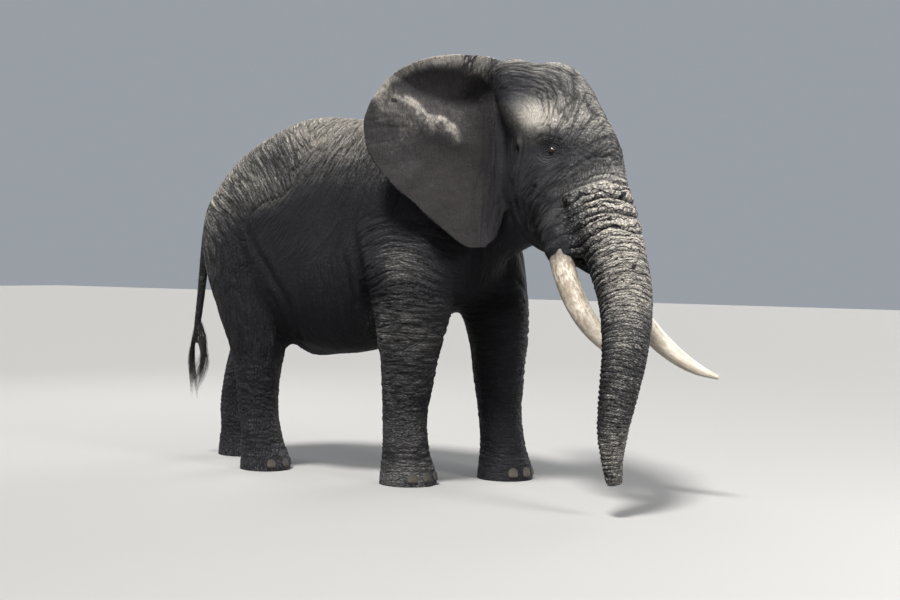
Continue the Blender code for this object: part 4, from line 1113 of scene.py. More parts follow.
# %% [markdown]
# ## Directions for the finest wrinkles
# The finest wrinkles are thinner than the mesh, so the material draws them. It needs
# to know which way they run: `flow` holds stretched places whose first number counts
# across the folds, and `crisp` says how clear they are. They fade on tight skin, on
# the ears, and where two directions meet. All records are stored as attributes.

# %% Clear and faint lines
tight = bell(x + 0.95, 0.42) * bell(z - 1.75, 0.50) * torso_share
borders = np.min([np.abs(v - 0.5) for v in (on_trunk, on_ear, head_share)], axis=0)
crisp = (1 - 0.42 * tight) * (1 - 0.60 * on_ear) * rise(borders, 0.0, 0.06)
crisp *= 1 - head_share * (0.60 * bell(temple, 0.06) + 0.30 * bell(temple, 0.17))
crisp *= 1 + 0.5 * on_trunk - 0.38 * head_share
arm_side = np.maximum(shoulder, column)
torso_like = torso_share + leg_share
crisp *= 1 - torso_like * np.maximum(bell(x - border, 0.014), bell(arm_side - 0.5, 0.12))
print("crisp from", round(float(crisp.min()), 2), "to", round(float(crisp.max()), 2))

# %% Flow
FINE_GAP, FINE_LENGTH = 0.013, 0.040
SKULL_GAP, SKULL_LENGTH = 0.010, 0.030


def flowing(where, across, second, third):
    """Use these three stretched places on part of the skin."""
    global flow
    flow = np.where(where[:, None], np.stack([across, second, third], axis=1), flow)


flow = np.stack([fan / FINE_GAP, y / FINE_LENGTH, z / FINE_LENGTH], axis=1)
flowing(x < border, round_tail / FINE_GAP, y / FINE_LENGTH, z / FINE_LENGTH)
flowing(arm_side > 0.5, arm_arc / FINE_GAP, y / FINE_LENGTH, x / FINE_LENGTH)
swirl = 50 * np.minimum(temple_turn + 0.3, 0)
swirl += 1.3 * noise(on_head / 0.13 + 3.0) + 0.5 * noise(on_head / 0.05)
flowing(head_share > 0.5, temple / SKULL_GAP + swirl, temple_turn * temple / SKULL_LENGTH,
        hy / SKULL_LENGTH)
flowing(on_trunk > 0.5, count * 4.0, trunk_side / 0.028, trunk_fore / 0.028)
for side, share in ear_share.items():
    flowing(share > 0.5, *(ear_place[side] / 0.020).T)
print("flow for", len(flow), "points")

# %% Store the records
def stored(thing, name, values):
    """Keep one number for every point of a mesh, for its material to read."""
    store = thing.data.attributes.new(name, "FLOAT", "POINT")
    store.data.foreach_set("value", np.asarray(values, np.float32))


def stored_places(thing, name, values):
    store = thing.data.attributes.new(name, "FLOAT_VECTOR", "POINT")
    store.data.foreach_set("vector", values.astype(np.float32).ravel())


for name, values in {"shade": shade, "dust": dust, "ear": on_ear, "crisp": crisp}.items():
    stored(skin, name, values)
stored_places(skin, "flow", flow)
skin.data.shade_smooth()
print("stored", [a.name for a in skin.data.attributes if a.domain == "POINT"])

# %% [markdown]
# ## Tools for materials
# A material is a tree of nodes, and linking sockets one by one is long to read. These
# helpers make a node with its inputs in one call, so that a formula reads as one.

# %% Node helpers
def new_material(name):
    material = bpy.data.materials.new(name)
    material.use_nodes = True
    return material, material.node_tree, material.node_tree.nodes["Principled BSDF"]


def node(tree, kind, settings=None, **inputs):
    """A shader node; inputs are numbers, colours or other nodes' outputs."""
    made = tree.nodes.new(f"ShaderNode{kind}")
    for key, value in (settings or {}).items():
        setattr(made, key, value)
    for key, value in inputs.items():
        socket = made.inputs[int(key[1:]) if key[1:].isdigit() else key.replace("_", " ")]
        if isinstance(value, bpy.types.NodeSocket):
            tree.links.new(value, socket)
        else:
            socket.default_value = value
    return made


def attribute(tree, name):
    return node(tree, "Attribute", {"attribute_name": name}).outputs["Fac"]


def sums(tree, operation, a, b, clamp=False):
    return node(tree, "Math", {"operation": operation, "use_clamp": clamp}, _0=a, _1=b).outputs[0]


def mixed(tree, share, a, b, blend="MIX"):
    made = node(tree, "Mix", {"data_type": "RGBA", "blend_type": blend}, _0=share, _6=a, _7=b)
    return made.outputs[2]


def speckle(tree, where, scale, detail=4.0, roughness=0.6):
    return node(tree, "TexNoise", None, Vector=where, Scale=scale, Detail=detail,
                Roughness=roughness).outputs["Fac"]


def ramp(tree, value, stops):
    made = node(tree, "ValToRGB", None, Fac=value)
    while len(made.color_ramp.elements) < len(stops):
        made.color_ramp.elements.new(0.5)
    for element, (place, colour) in zip(made.color_ramp.elements, stops):
        element.position = place
        element.color = colour if len(colour) == 4 else (*colour, 1)
    return made.outputs["Color"]


print("materials before the first new one", len(bpy.data.materials))

# %% [markdown]
# ## The hide material
# Elephant hide is dry, cool dark grey, with pale warm dust on it. One colour ramp runs
# from bare skin to thick dust and painted light, led by the stored record and broken up
# by noise at three sizes. Ridges are lightened, as dust and painted sheen, and cracks get
# painted shade. Wrinkles finer than the mesh are wandering stripes and a net of cells in
# the flow's space, used both as colour, with painted shade in their lines, and as bump.
# Bare dark skin is a little smoother than dust. The material has no picture in it, so it
# is the same from every side.

# %% Hide
def hide():
    material, tree, shader = new_material("wrinkled_hide")
    where = node(tree, "TexCoord").outputs["Object"]
    along_folds = node(tree, "Attribute", {"attribute_name": "flow"}).outputs["Vector"]
    dusted_and_lit, dark = attribute(tree, "dust"), attribute(tree, "shade")
    coarse = speckle(tree, where, 5.0, 6.0)
    grain = speckle(tree, where, 60.0, 3.0)
    cells = node(tree, "TexVoronoi", {"feature": "DISTANCE_TO_EDGE"}, Vector=along_folds,
                 Scale=1.0)
    net = sums(tree, "MINIMUM", sums(tree, "MULTIPLY", cells.outputs["Distance"], 4.0), 1.0)
    bend = sums(tree, "MULTIPLY", speckle(tree, along_folds, 0.16, 2.0), 4.2)
    first = node(tree, "SeparateXYZ", None, Vector=along_folds).outputs["X"]
    halved = sums(tree, "MULTIPLY", first, 0.5)
    turns = sums(tree, "MULTIPLY", sums(tree, "ADD", halved, bend), math.pi)
    stripe = sums(tree, "ABSOLUTE", sums(tree, "SINE", turns, 0.0), 0.0)
    varied = sums(tree, "MULTIPLY", speckle(tree, along_folds, 0.5, 2.0), 3.0)
    uneven = sums(tree, "ADD", 0.6, varied)
    folds = sums(tree, "MINIMUM", sums(tree, "MULTIPLY", stripe, uneven), 1.0)
    tiny = node(tree, "TexVoronoi", {"feature": "DISTANCE_TO_EDGE"}, Vector=where, Scale=190.0)
    fine_net = sums(tree, "MINIMUM", sums(tree, "MULTIPLY", tiny.outputs["Distance"], 5.0), 1.0)
    broken = sums(tree, "MULTIPLY", sums(tree, "SUBTRACT", coarse, 0.5), 0.40)
    powder = sums(tree, "MULTIPLY", sums(tree, "SUBTRACT", grain, 0.5), 0.12)
    crisp = attribute(tree, "crisp")
    # lighter off the cracks, as dust and painted sheen on the ridges, and darker in them, as
    # painted shade
    ridges = sums(tree, "MULTIPLY", sums(tree, "SUBTRACT", 0.40, dark), 0.20)
    flat_tops = sums(tree, "MULTIPLY", net, folds)
    fine_ridges = sums(tree, "MULTIPLY", sums(tree, "SUBTRACT", flat_tops, 0.45), 0.22)
    ridged = sums(tree, "MULTIPLY", sums(tree, "ADD", ridges, fine_ridges), crisp)
    patchy_dust_and_light = sums(tree, "ADD", dusted_and_lit, broken)
    amount = sums(tree, "ADD", patchy_dust_and_light, sums(tree, "ADD", powder, ridged), True)
    base = ramp(tree, amount, [(0.0, (0.005, 0.005, 0.008)), (0.25, (0.022, 0.022, 0.026)),
                               (0.50, (0.090, 0.087, 0.085)), (0.75, (0.235, 0.222, 0.205)),
                               (1.0, (0.440, 0.405, 0.360))])
    warm = mixed(tree, sums(tree, "MULTIPLY", attribute(tree, "ear"), 0.30), base,
                 (0.040, 0.030, 0.026, 1))
    # painted shade in the cracks
    creased = mixed(tree, sums(tree, "MULTIPLY", dark, 0.88), warm, (0.005, 0.005, 0.006, 1))
    # painted shade in the fine net and along the fold stripes
    lines = sums(tree, "MULTIPLY", sums(tree, "SUBTRACT", 1.0, net), 0.25)
    lined = mixed(tree, sums(tree, "MULTIPLY", lines, crisp), creased, (0.006, 0.006, 0.007, 1))
    longer = sums(tree, "MULTIPLY", sums(tree, "SUBTRACT", 1.0, folds), 0.85)
    colour = mixed(tree, sums(tree, "MULTIPLY", longer, crisp), lined, (0.006, 0.006, 0.007, 1))
    tree.links.new(colour, shader.inputs["Base Color"])
    rough = ramp(tree, amount, [(0.0, (0.55,) * 3), (0.4, (0.78,) * 3), (1.0, (0.95,) * 3)])
    tree.links.new(rough, shader.inputs["Roughness"])
    height = sums(tree, "ADD", net, sums(tree, "MULTIPLY", folds, 1.2))
    height = sums(tree, "MULTIPLY", height, crisp)
    height = sums(tree, "ADD", height, sums(tree, "MULTIPLY", fine_net, 0.35))
    height = sums(tree, "ADD", height, sums(tree, "MULTIPLY", grain, 0.6))
    bump = node(tree, "Bump", None, Strength=0.8, Distance=0.0045, Height=height)
    tree.links.new(bump.outputs["Normal"], shader.inputs["Normal"])
    shader.inputs["Specular IOR Level"].default_value = 0.14
    return material


skin.data.materials.clear()
skin.data.materials.append(hide())
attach(skin, "root")
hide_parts(*FLESH)
print("nodes in the hide", len(skin.data.materials[0].node_tree.nodes))

# %% [markdown]
# ## Flattening the hide
# A bake needs the skin laid flat, as a tanner would lay it. An automatic unwrap would
# cut half a million faces into hundreds of scraps. Body, head, trunk, legs and tail
# are unrolled as cylinders instead, with their seams underneath or behind, and the
# ears, soles, rump, chest, crown and chin are simply projected. The same map later
# tells each hair whereabouts on the hide it grows.

# %% Charts
HIDE_MAP = "OFBake"
totals = np.empty(len(skin.data.polygons), np.int32)
skin.data.polygons.foreach_get("loop_total", totals)
corner = np.empty(len(skin.data.loops), np.int32)
skin.data.loops.foreach_get("vertex_index", corner)
starts = np.concatenate([[0], np.cumsum(totals)[:-1]])
owner = np.repeat(np.arange(len(totals)), totals)


def per_face(values):
    summed = np.add.reduceat(values[corner], starts, axis=0)
    return summed / (totals if values.ndim == 1 else totals[:, None])


middle, toward = per_face(here), per_face(facing)
head_toward = toward @ np.array(HEAD.to_3x3(), np.float32)
chart = np.zeros(len(totals), np.int32)
flat = np.zeros((len(corner), 2), np.float32)
free = np.ones(len(totals), bool)
chart_count = 0


def flatten(chosen, u, v):
    """Give the chosen free faces a chart; u and v are lengths at every point."""
    global chart_count
    chosen = chosen & free
    if not chosen.any():
        return
    chart_count += 1
    chart[chosen] = chart_count
    free[chosen] = False
    mine = chosen[owner]
    flat[mine, 0], flat[mine, 1] = u[corner[mine]], v[corner[mine]]


def unroll(chosen, across, along, radius, length, outward_part):
    """Unroll a tube round the axis where across and along are zero, in two charts."""
    angle = np.arctan2(across, along)
    of_face = np.arctan2(per_face(across), per_face(along))[owner]
    nearest_turn = of_face + (angle[corner] - of_face + np.pi) % (2 * np.pi) - np.pi
    for part, scale in ((outward_part >= -0.1, 1.0), (outward_part < -0.1, 0.35)):
        before = chart_count
        flatten(chosen & part, across, length)
        if chart_count > before:
            mine = (chart == chart_count)[owner]
            flat[mine, 0] = nearest_turn[mine] * radius * scale
            flat[mine, 1] = length[corner[mine]] * scale


print("faces to lay flat", len(totals))

# %% Every part laid flat
for number, name in enumerate(LEGS, 1):
    sole = (middle[:, 2] < 0.02) & (toward[:, 2] < -0.4)
    flatten(sole & (per_face(leg_index * 1.0) == number), x, y)
for side in SIDES.values():
    a, b, c = ear_place[side].T
    away = head_toward @ np.array((math.sin(EAR_FLARE[side]), side * math.cos(EAR_FLARE[side]), 0))
    for part in (away >= 0, away < 0):
        flatten((per_face(ear_share[side]) > 0.5) & part, a, b)
for number, name in enumerate(LEGS, 1):
    mine = (per_face(leg_share) > 0.5) & (np.round(per_face(leg_index * 1.0)) == number)
    side = SIDES[name.split("_")[1]]
    spoke = np.stack([per_face(fore_off), per_face(side_off), 0 * middle[:, 0]], axis=1)
    out = (toward * spoke).sum(1)
    unroll(mine, fore_off, side * side_off, 0.24, height, out / 0.2)
tail_off = x - np.interp(z, [1.1, 1.57, 1.92, 2.2, 2.42], [-2.57, -2.515, -2.475, -2.43, -2.34])
unroll(per_face(on_tail) > 0.5, y, tail_off, 0.045, z, np.ones(len(totals)))
unroll(per_face(on_trunk) > 0.5, trunk_side, trunk_fore, 0.2, down_trunk, np.ones(len(totals)))
on_skull = per_face(head_share) > 0.5
flatten(on_skull & (head_toward[:, 2] > 0.75), hx, hy)
flatten(on_skull & (head_toward[:, 2] < -0.65), hx, hy)
out = head_toward[:, 0] * (per_face(hx) - 0.55) + head_toward[:, 1] * per_face(hy)
unroll(on_skull, hy, hx - 0.55, 0.42, hz, out / 0.4)
flatten((toward[:, 0] < -0.72) & (middle[:, 0] < -1.7), y, z)
flatten((toward[:, 0] > 0.72) & (middle[:, 0] > 0.2), y, z)
out = toward[:, 1] * middle[:, 1] + toward[:, 2] * (middle[:, 2] - 2.1)
unroll(free.copy(), y, z - 2.1, 0.95, x, out / 0.8)
print("faces left without a chart", int(free.sum()))

# %% [markdown]
# ## Packing the charts
# The tallest charts go first, side by side on shelves, with a small gap between them.
# If they don't all fit in the square, it grows a little and they are packed again.

# %% Shelves
corners_low = np.full((chart_count + 1, 2), 1e9)
corners_high = -corners_low
np.minimum.at(corners_low, chart[owner], flat)
np.maximum.at(corners_high, chart[owner], flat)
spans = corners_high - corners_low
GAP = 0.05


def shelves(side_length):
    """Where each chart goes in a square of that many metres, or None if it is full."""
    places, left, bottom, shelf = {}, 0.0, 0.0, 0.0
    for k in sorted(range(1, chart_count + 1), key=lambda k: -spans[k][1]):
        wide, high = spans[k] + GAP
        if left + wide > side_length:
            left, bottom, shelf = 0.0, bottom + shelf, 0.0
        shelf = max(shelf, high)
        if wide > side_length or bottom + shelf > side_length:
            return None
        places[k] = (left + GAP / 2, bottom + GAP / 2)
        left += wide
    return places


square = 6.0
while shelves(square) is None:
    square *= 1.02
placed = np.zeros((chart_count + 1, 2))
for k, spot in shelves(square).items():
    placed[k] = spot
flat = ((flat - corners_low[chart[owner]] + placed[chart[owner]]) / square).astype(np.float32)
skin.data.uv_layers.new(name=HIDE_MAP).data.foreach_set("uv", flat.ravel())
on_map = np.zeros((len(here), 2), np.float32)
on_map[corner] = flat
print("charts", chart_count, "in a square of", round(square, 2), "m")

# %% [markdown]
# ## Eyes
# An elephant's eye is small, dark amber and wet, the one glossy thing on the animal.
# Each eyeball is a ball with a bulging front. Every point stores how far round it is
# from the line of sight, and the material turns that into pupil, iris, dark rim and
# brown white. That needs no separate iris, and it can't slide off the ball.

# %% Ready-made pieces
def sphere(name, around, up):
    mesh = bpy.data.meshes.new(name)
    bm = bmesh.new()
    bmesh.ops.create_uvsphere(bm, u_segments=around, v_segments=up, radius=1)
    bm.to_mesh(mesh)
    bm.free()
    made = bpy.data.objects.new(name, mesh)
    bpy.context.scene.collection.objects.link(made)
    mesh.shade_smooth()
    return made


def finish_piece(piece, material, slot, *nodes):
    piece.data.materials.clear()
    piece.data.materials.append(material)
    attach(piece, "root")
    if nodes:
        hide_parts(*nodes)


print("nodes still to be replaced", len(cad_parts) - len(FLESH))

# %% Eyeballs
def eye_material():
    material, tree, shader = new_material("wet_eye")
    colour = ramp(tree, attribute(tree, "gaze"), [
        (0.0, (0.002, 0.002, 0.002)), (0.115, (0.002, 0.002, 0.002)),
        (0.130, (0.085, 0.040, 0.015)), (0.215, (0.045, 0.020, 0.009)),
        (0.240, (0.008, 0.005, 0.004)), (0.290, (0.070, 0.050, 0.040)),
        (0.500, (0.050, 0.030, 0.024))])
    tree.links.new(colour, shader.inputs["Base Color"])
    shader.inputs["Roughness"].default_value = 0.07
    shader.inputs["Coat Weight"].default_value = 0.5
    shader.inputs["Coat Roughness"].default_value = 0.02
    return material


wet = eye_material()
for word, side in SIDES.items():
    eyeball = sphere(f"eyeball_{word}", 48, 32)
    places = read(eyeball.data)
    gaze = np.arccos(np.clip(places[:, 2], -1, 1)) / math.pi
    bulge = 1 + 0.035 * np.clip(1 - (gaze / 0.26) ** 2, 0, 1)
    sight = HEAD.to_3x3() @ Vector((0.30, side, -0.10)).normalized()
    turned = np.array(sight.to_track_quat("Z", "Y").to_matrix(), np.float32)
    places = (places * bulge[:, None] * EYE_RADIUS) @ turned.T
    write(eyeball.data, places + np.array(EYE_CENTRE[word], np.float32))
    stored(eyeball, "gaze", gaze)
    finish_piece(eyeball, wet, "eye", f"eye_{word}")
print("eyes at", [tuple(round(v, 3) for v in c) for c in EYE_CENTRE.values()])

# %% [markdown]
# ## Tusks
# A tusk is a tooth that never stops growing: a long cone that leaves the lip pointing
# down and curves forward. The two are lofted along the frame's stations with many more
# sides. Low ridges run the length of them and faint growth rings run across, pushed
# into the mesh so that they catch the light. The ivory is cream, with a dark band
# where it leaves the lip and soil stains that thin out towards the tip.

# %% Tusks
TUSKS = {
    "right": [
        (0.80, -0.27, -0.55, 0.088), (0.85, -0.30, -0.74, 0.095), (0.94, -0.335, -0.95, 0.096),
        (1.06, -0.36, -1.16, 0.093), (1.20, -0.37, -1.34, 0.086), (1.35, -0.36, -1.485, 0.070),
        (1.47, -0.33, -1.58, 0.048), (1.56, -0.30, -1.635, 0.020),
    ],
    "left": [
        (0.80, 0.27, -0.55, 0.088), (0.86, 0.30, -0.76, 0.095), (0.96, 0.345, -0.98, 0.096),
        (1.10, 0.385, -1.21, 0.094), (1.28, 0.415, -1.43, 0.088), (1.48, 0.44, -1.60, 0.074),
        (1.68, 0.48, -1.72, 0.050), (1.87, 0.53, -1.79, 0.016),
    ],
}
TUSK_AROUND, TUSK_STEPS, TUSK_LENGTH = 48, 16, 1.6


def ivory():
    material, tree, shader = new_material("stained_ivory")
    along, grain = attribute(tree, "along"), node(tree, "Attribute", {"attribute_name": "grain"})
    where = grain.outputs["Vector"]
    fine = speckle(tree, where, 9.0, 5.0, 0.7)
    blotch = speckle(tree, where, 44.0, 6.0, 0.75)
    cream = ramp(tree, fine, [(0.35, (0.22, 0.185, 0.140)), (0.50, (0.34, 0.30, 0.245)),
                              (0.66, (0.46, 0.42, 0.36))])
    near = ramp(tree, along, [(0.0, (1, 1, 1)), (0.30, (0.95,) * 3), (0.55, (0.75,) * 3),
                              (0.75, (0.25,) * 3), (1.0, (0.10,) * 3)])
    hold = ramp(tree, blotch, [(0.47, (0, 0, 0)), (0.55, (1, 1, 1))])
    stains = mixed(tree, sums(tree, "MULTIPLY", hold, near), cream, (0.170, 0.135, 0.100, 1))
    lip = ramp(tree, sums(tree, "ADD", along, sums(tree, "MULTIPLY", fine, 0.10)),
               [(0.25, (1, 1, 1)), (0.34, (0, 0, 0))])
    colour = mixed(tree, sums(tree, "MULTIPLY", lip, 0.85), stains, (0.045, 0.036, 0.030, 1))
    tree.links.new(colour, shader.inputs["Base Color"])
    shader.inputs["Roughness"].default_value = 0.42
    bump = node(tree, "Bump", None, Strength=0.35, Distance=0.002, Height=blotch)
    tree.links.new(bump.outputs["Normal"], shader.inputs["Normal"])
    return material


stained = ivory()
for word, path in TUSKS.items():
    rows = [(*row[:3], row[3], row[3], row[3]) for row in path]
    tusk = loft(f"ivory_{word}", rows, None, HEAD, TUSK_AROUND, TUSK_STEPS)
    rings = len(through(rows, TUSK_STEPS))
    along = np.repeat(np.arange(rings) / (rings - 1), TUSK_AROUND)
    turn = np.tile(np.arange(TUSK_AROUND) * 2 * np.pi / TUSK_AROUND, rings)
    length = along * TUSK_LENGTH
    grain = np.stack([np.cos(turn) * 0.09, np.sin(turn) * 0.09, length * 0.45], axis=1)
    lines = np.stack([np.cos(turn) * 5, np.sin(turn) * 5, length * 2.0], axis=1)
    growth = np.stack([np.cos(turn), np.sin(turn), length * 30], axis=1)
    lift = 0.0022 * noise(lines) + 0.0009 * noise(growth)
    write(tusk.data, read(tusk.data) + read(tusk.data, "normal") * lift[:, None])
    tusk.data.shade_smooth()
    stored(tusk, "along", along)
    stored_places(tusk, "grain", grain)
    finish_piece(tusk, stained, "ivory", f"tusk_{word}")

# %% [markdown]
# ## Toenails
# Four nails on each front foot and three on each hind foot. Each is a low shield of
# dull horn, round above and squared off below, with upright ridges. A ball, flattened
# and squared by a formula, gives that shape, turned to face out from its toe.

# %% Nails
TOES = {"front": (-46, -14, 18, 50), "hind": (-38, 0, 38)}
NAIL_SIZES = {"front": (0.017, 0.046, 0.044), "hind": (0.016, 0.042, 0.040)}


def horn():
    material, tree, shader = new_material("dull_horn")
    where = node(tree, "TexCoord").outputs["Object"]
    scratches = sums(tree, "MULTIPLY", speckle(tree, where, 60), 0.4)
    worn = sums(tree, "ADD", attribute(tree, "worn"), scratches)
    colour = ramp(tree, worn, [(0.15, (0.012, 0.011, 0.010)), (0.6, (0.030, 0.027, 0.023)),
                               (1.0, (0.060, 0.053, 0.044))])
    tree.links.new(colour, shader.inputs["Base Color"])
    shader.inputs["Roughness"].default_value = 0.75
    shader.inputs["Specular IOR Level"].default_value = 0.25
    return material


dull = horn()
nail_count = 0
for foot in LEGS:
    end, word = foot.split("_")
    for number, degrees in enumerate(TOES[end], 1):
        node_name = f"nail_{foot}_{number}"
        low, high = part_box(node_name)
        nail = sphere(f"horn_{foot}_{number}", 36, 24)
        places = read(nail.data)
        ridges = 0.030 * np.cos(places[:, 1] * 34) * np.clip(places[:, 0], 0, 1)
        flat_end = np.hypot(places[:, 1], places[:, 2]) + 1e-6
        flat_end /= (places[:, 1] ** 4 + places[:, 2] ** 4) ** 0.25 + 1e-6
        flat_end = np.where(places[:, 2] < 0, flat_end, 1.0)
        shaped = places * np.array(NAIL_SIZES[end]) * (1.01 + ridges)[:, None]
        shaped[:, 1:] *= flat_end[:, None]
        turn = math.radians(degrees) * SIDES[word]
        lean = Matrix.Rotation(turn, 3, "Z") @ Matrix.Rotation(math.radians(-14), 3, "Y")
        centre = (np.array(low) + np.array(high)) / 2
        write(nail.data, shaped @ np.array(lean).T + centre)
        stored(nail, "worn", 0.55 - 0.45 * places[:, 2])
        finish_piece(nail, dull, "nail", node_name)
        nail_count += 1
print("nails", nail_count)

# %% [markdown]
# ## Hair
# Elephant hair is wire: thick, black and sparse. A particle system would be lost when
# the model is exported, so all of it is mesh, built by one function that takes the
# middle lines of many hairs at once and wraps each in a thin tapered three-sided tube.
# Its bake map is a small patch where the hair's root lies on the flattened hide.

# %% Hair from lines
skin_tree = KDTree(len(here))
for i, point in enumerate(read(skin.data).tolist()):
    skin_tree.insert(point, i)
skin_tree.balance()
PATCH = 0.003


def hairs(name, lines, thickness):
    """One mesh of hairs: lines is (hair, point, xyz), thickness one value a hair."""
    lines = np.asarray(lines, float)
    number, points = lines.shape[:2]
    run = np.gradient(lines, axis=1)
    run /= np.linalg.norm(run, axis=2, keepdims=True) + 1e-9
    side = np.cross(run, np.array((0.31, 0.82, 0.48)))
    side /= np.linalg.norm(side, axis=2, keepdims=True) + 1e-9
    over = np.cross(run, side)
    t = np.linspace(0, 1, points)
    radius = np.asarray(thickness)[:, None] * (1 - 0.88 * t[None, :] ** 1.6)
    rings = []
    for k in range(3):
        c, s = math.cos(2 * math.pi * k / 3), math.sin(2 * math.pi * k / 3)
        rings.append(lines + (side * c + over * s) * radius[:, :, None])
    vertices = np.stack(rings, axis=2).reshape(-1, 3)
    one = []
    for i in range(points - 1):
        for k in range(3):
            a, b = i * 3 + k, i * 3 + (k + 1) % 3
            one.append((a, b, b + 3, a + 3))
    quads = (np.arange(number)[:, None, None] * points * 3 + np.array(one)[None]).reshape(-1, 4)
    ends = [(h * points * 3, h * points * 3 + 2, h * points * 3 + 1) for h in range(number)]
    last = (points - 1) * 3
    ends += [tuple(h * points * 3 + last + k for k in range(3)) for h in range(number)]
    mesh = bpy.data.meshes.new(name)
    mesh.from_pydata(vertices.tolist(), [], quads.tolist() + ends)
    mesh.shade_smooth()
    roots = np.array([on_map[skin_tree.find(p.tolist())[1]] for p in lines[:, 0]])
    spots = np.repeat(roots, points * 3, axis=0)
    spots[:, 0] += PATCH * (np.tile(np.arange(3), number * points) / 2 - 0.5)
    spots[:, 1] += PATCH * (np.tile(np.repeat(t, 3), number) - 0.5)
    loops = np.empty(len(mesh.loops), np.int32)
    mesh.loops.foreach_get("vertex_index", loops)
    hide_map = mesh.uv_layers.new(name=HIDE_MAP)
    hide_map.data.foreach_set("uv", spots[loops].astype(np.float32).ravel())
    made = bpy.data.objects.new(name, mesh)
    bpy.context.scene.collection.objects.link(made)
    return made


def wire():
    material, tree, shader = new_material("wire_hair")
    where = node(tree, "TexCoord").outputs["Object"]
    colour = ramp(tree, speckle(tree, where, 35.0, 2.0), [(0.3, (0.004, 0.004, 0.005)),
                                                          (0.7, (0.022, 0.018, 0.015))])
    tree.links.new(colour, shader.inputs["Base Color"])
    shader.inputs["Roughness"].default_value = 0.38
    return material


print("places where a hair can look up the hide", len(here))

# %% [markdown]
# ## Tail hair
# Two rows of long stiff wires end the tail, one before and one behind. They hang in
# locks, so the wires of one lock share their length and their bend, and each adds a
# little of its own.

# %% Tail hair
TAIL_HAIRS = 420
LOCKS = 14
black = wire()
dice = np.random.default_rng(5)
t = np.linspace(0, 1, 18)
lines = []
for number in range(TAIL_HAIRS):
    if number % (TAIL_HAIRS // LOCKS) == 0:
        forward = -1 if dice.random() < 0.5 else 1
        lock_top, lock_loop = dice.uniform(1.10, 1.34), dice.uniform(0.02, 0.095)
        lock_length, lock_turns = dice.uniform(0.42, 0.66), dice.uniform(0.85, 1.20)
        lock_side = dice.normal(0, 0.022)
    top = lock_top + dice.normal(0, 0.015)
    middle_x = np.interp(top, [1.10, 1.27, 1.57], [-2.57, -2.555, -2.515])
    loop = lock_loop * dice.normal(1, 0.10) * (0.85 if forward < 0 else 1.30)
    length = lock_length * dice.uniform(0.75, 1.05)
    bow = np.sin(math.pi * np.clip(t * (lock_turns + dice.normal(0, 0.03)), 0, 1.3))
    wavy = 0.004 * np.sin(t * dice.uniform(5, 14) + dice.uniform(0, 6)) * t
    sideways = (lock_side + dice.normal(0, 0.008)) * np.sin(math.pi * 0.6 * t)
    sideways += dice.normal(0, 0.008)
    along_x = middle_x + forward * (0.018 + loop * bow) + wavy
    bottom = np.maximum(top - length * t + dice.normal(0, 0.008) * t, 0.50)
    lines.append(np.stack([along_x, sideways + wavy[::-1] * 0.5, bottom], axis=1))
tail_hair = hairs("tail_hair", lines, dice.uniform(0.0011, 0.0019, TAIL_HAIRS))
finish_piece(tail_hair, black, "tail_hair", "tail_tuft")
print("tail hairs", TAIL_HAIRS, "in locks", LOCKS)

# %% [markdown]
# ## Eyelashes
# Long lashes shade the eye, reaching out and drooping a little. Each starts on the rim
# of its lid, and every fourth belongs to the lower one, where they are short.

# %% Eyelashes
LASHES = 34
t = np.linspace(0, 1, 7)
lines = []
for word, side in SIDES.items():
    eye_turn, centre = HEAD.to_3x3(), EYE_CENTRE[word]
    for number in range(LASHES):
        fore = np.interp(number, [0, LASHES - 1], [-0.024, 0.025]) + dice.normal(0, 0.0008)
        lower = number % 4 == 3
        up = (-0.008 if lower else 0.0155) * (1 - (fore / 0.027) ** 2) + 0.1 * fore
        length = dice.uniform(0.010, 0.018) if lower else dice.uniform(0.028, 0.044)
        out = math.sqrt(max((EYE_RADIUS + 0.003) ** 2 - fore**2 - up**2, 0))
        droop = -length * (0.05 * t + 0.45 * t**2)
        reach = length * (1.00 * t - 0.15 * t**2)
        spread = fore + fore * 0.5 * t + dice.normal(0.15, 0.1) * length * t
        places = np.stack([spread, side * (out + reach), up + droop], axis=1)
        lines.append([centre + eye_turn @ Vector(place) for place in places.tolist()])
lashes = hairs("eyelashes", np.array(lines), np.full(len(lines), 0.0006))
finish_piece(lashes, black, "tail_hair")
print("eyelashes", len(lines))

# %% [markdown]
# ## Bristles
# Short stiff bristles stand on the crown, the chin, the trunk, the tail and the rims
# of the ears, and are rare elsewhere. Points of the skin are drawn by lot, with a
# better chance where bristles are thick, and each leans down as it leaves the skin.

# %% Bristles
BRISTLES = 2600
want = head_share * (0.25 + 0.9 * rise(hz, 0.45, 0.75) + 1.2 * rise(-hz, 0.55, 0.80))
want += on_trunk * (0.30 + 0.5 * rise(-trunk_fore, -0.02, 0.10))
want += torso_share * (0.05 + 0.25 * rise(z, 2.9, 3.2) + 0.10 * rise(-z, -1.3, -1.1))
edge = np.maximum(*(ear_share[s] * rise(np.hypot(ear_place[s][:, 0] - 0.45, ear_place[s][:, 1]),
                                        0.55, 0.75) for s in (-1, 1)))
want += 0.4 * edge + 0.8 * on_tail
want *= (np.min([np.linalg.norm(here - np.array(c, np.float32), axis=1)
                 for c in EYE_CENTRE.values()], axis=0) > 0.10)
roots = dice.choice(len(here), BRISTLES, replace=False, p=want / want.sum())
base, normal = read(skin.data)[roots].astype(float), facing[roots].astype(float)
lay_down = np.array((-0.15, 0, -0.75)) + dice.normal(0, 0.30, (BRISTLES, 3))
lay_down -= normal * (lay_down * normal).sum(1)[:, None]
length = dice.uniform(0.014, 0.040, BRISTLES) * np.where(on_tail[roots] > 0.5, 1.6, 1)
t = np.linspace(0, 1, 4)
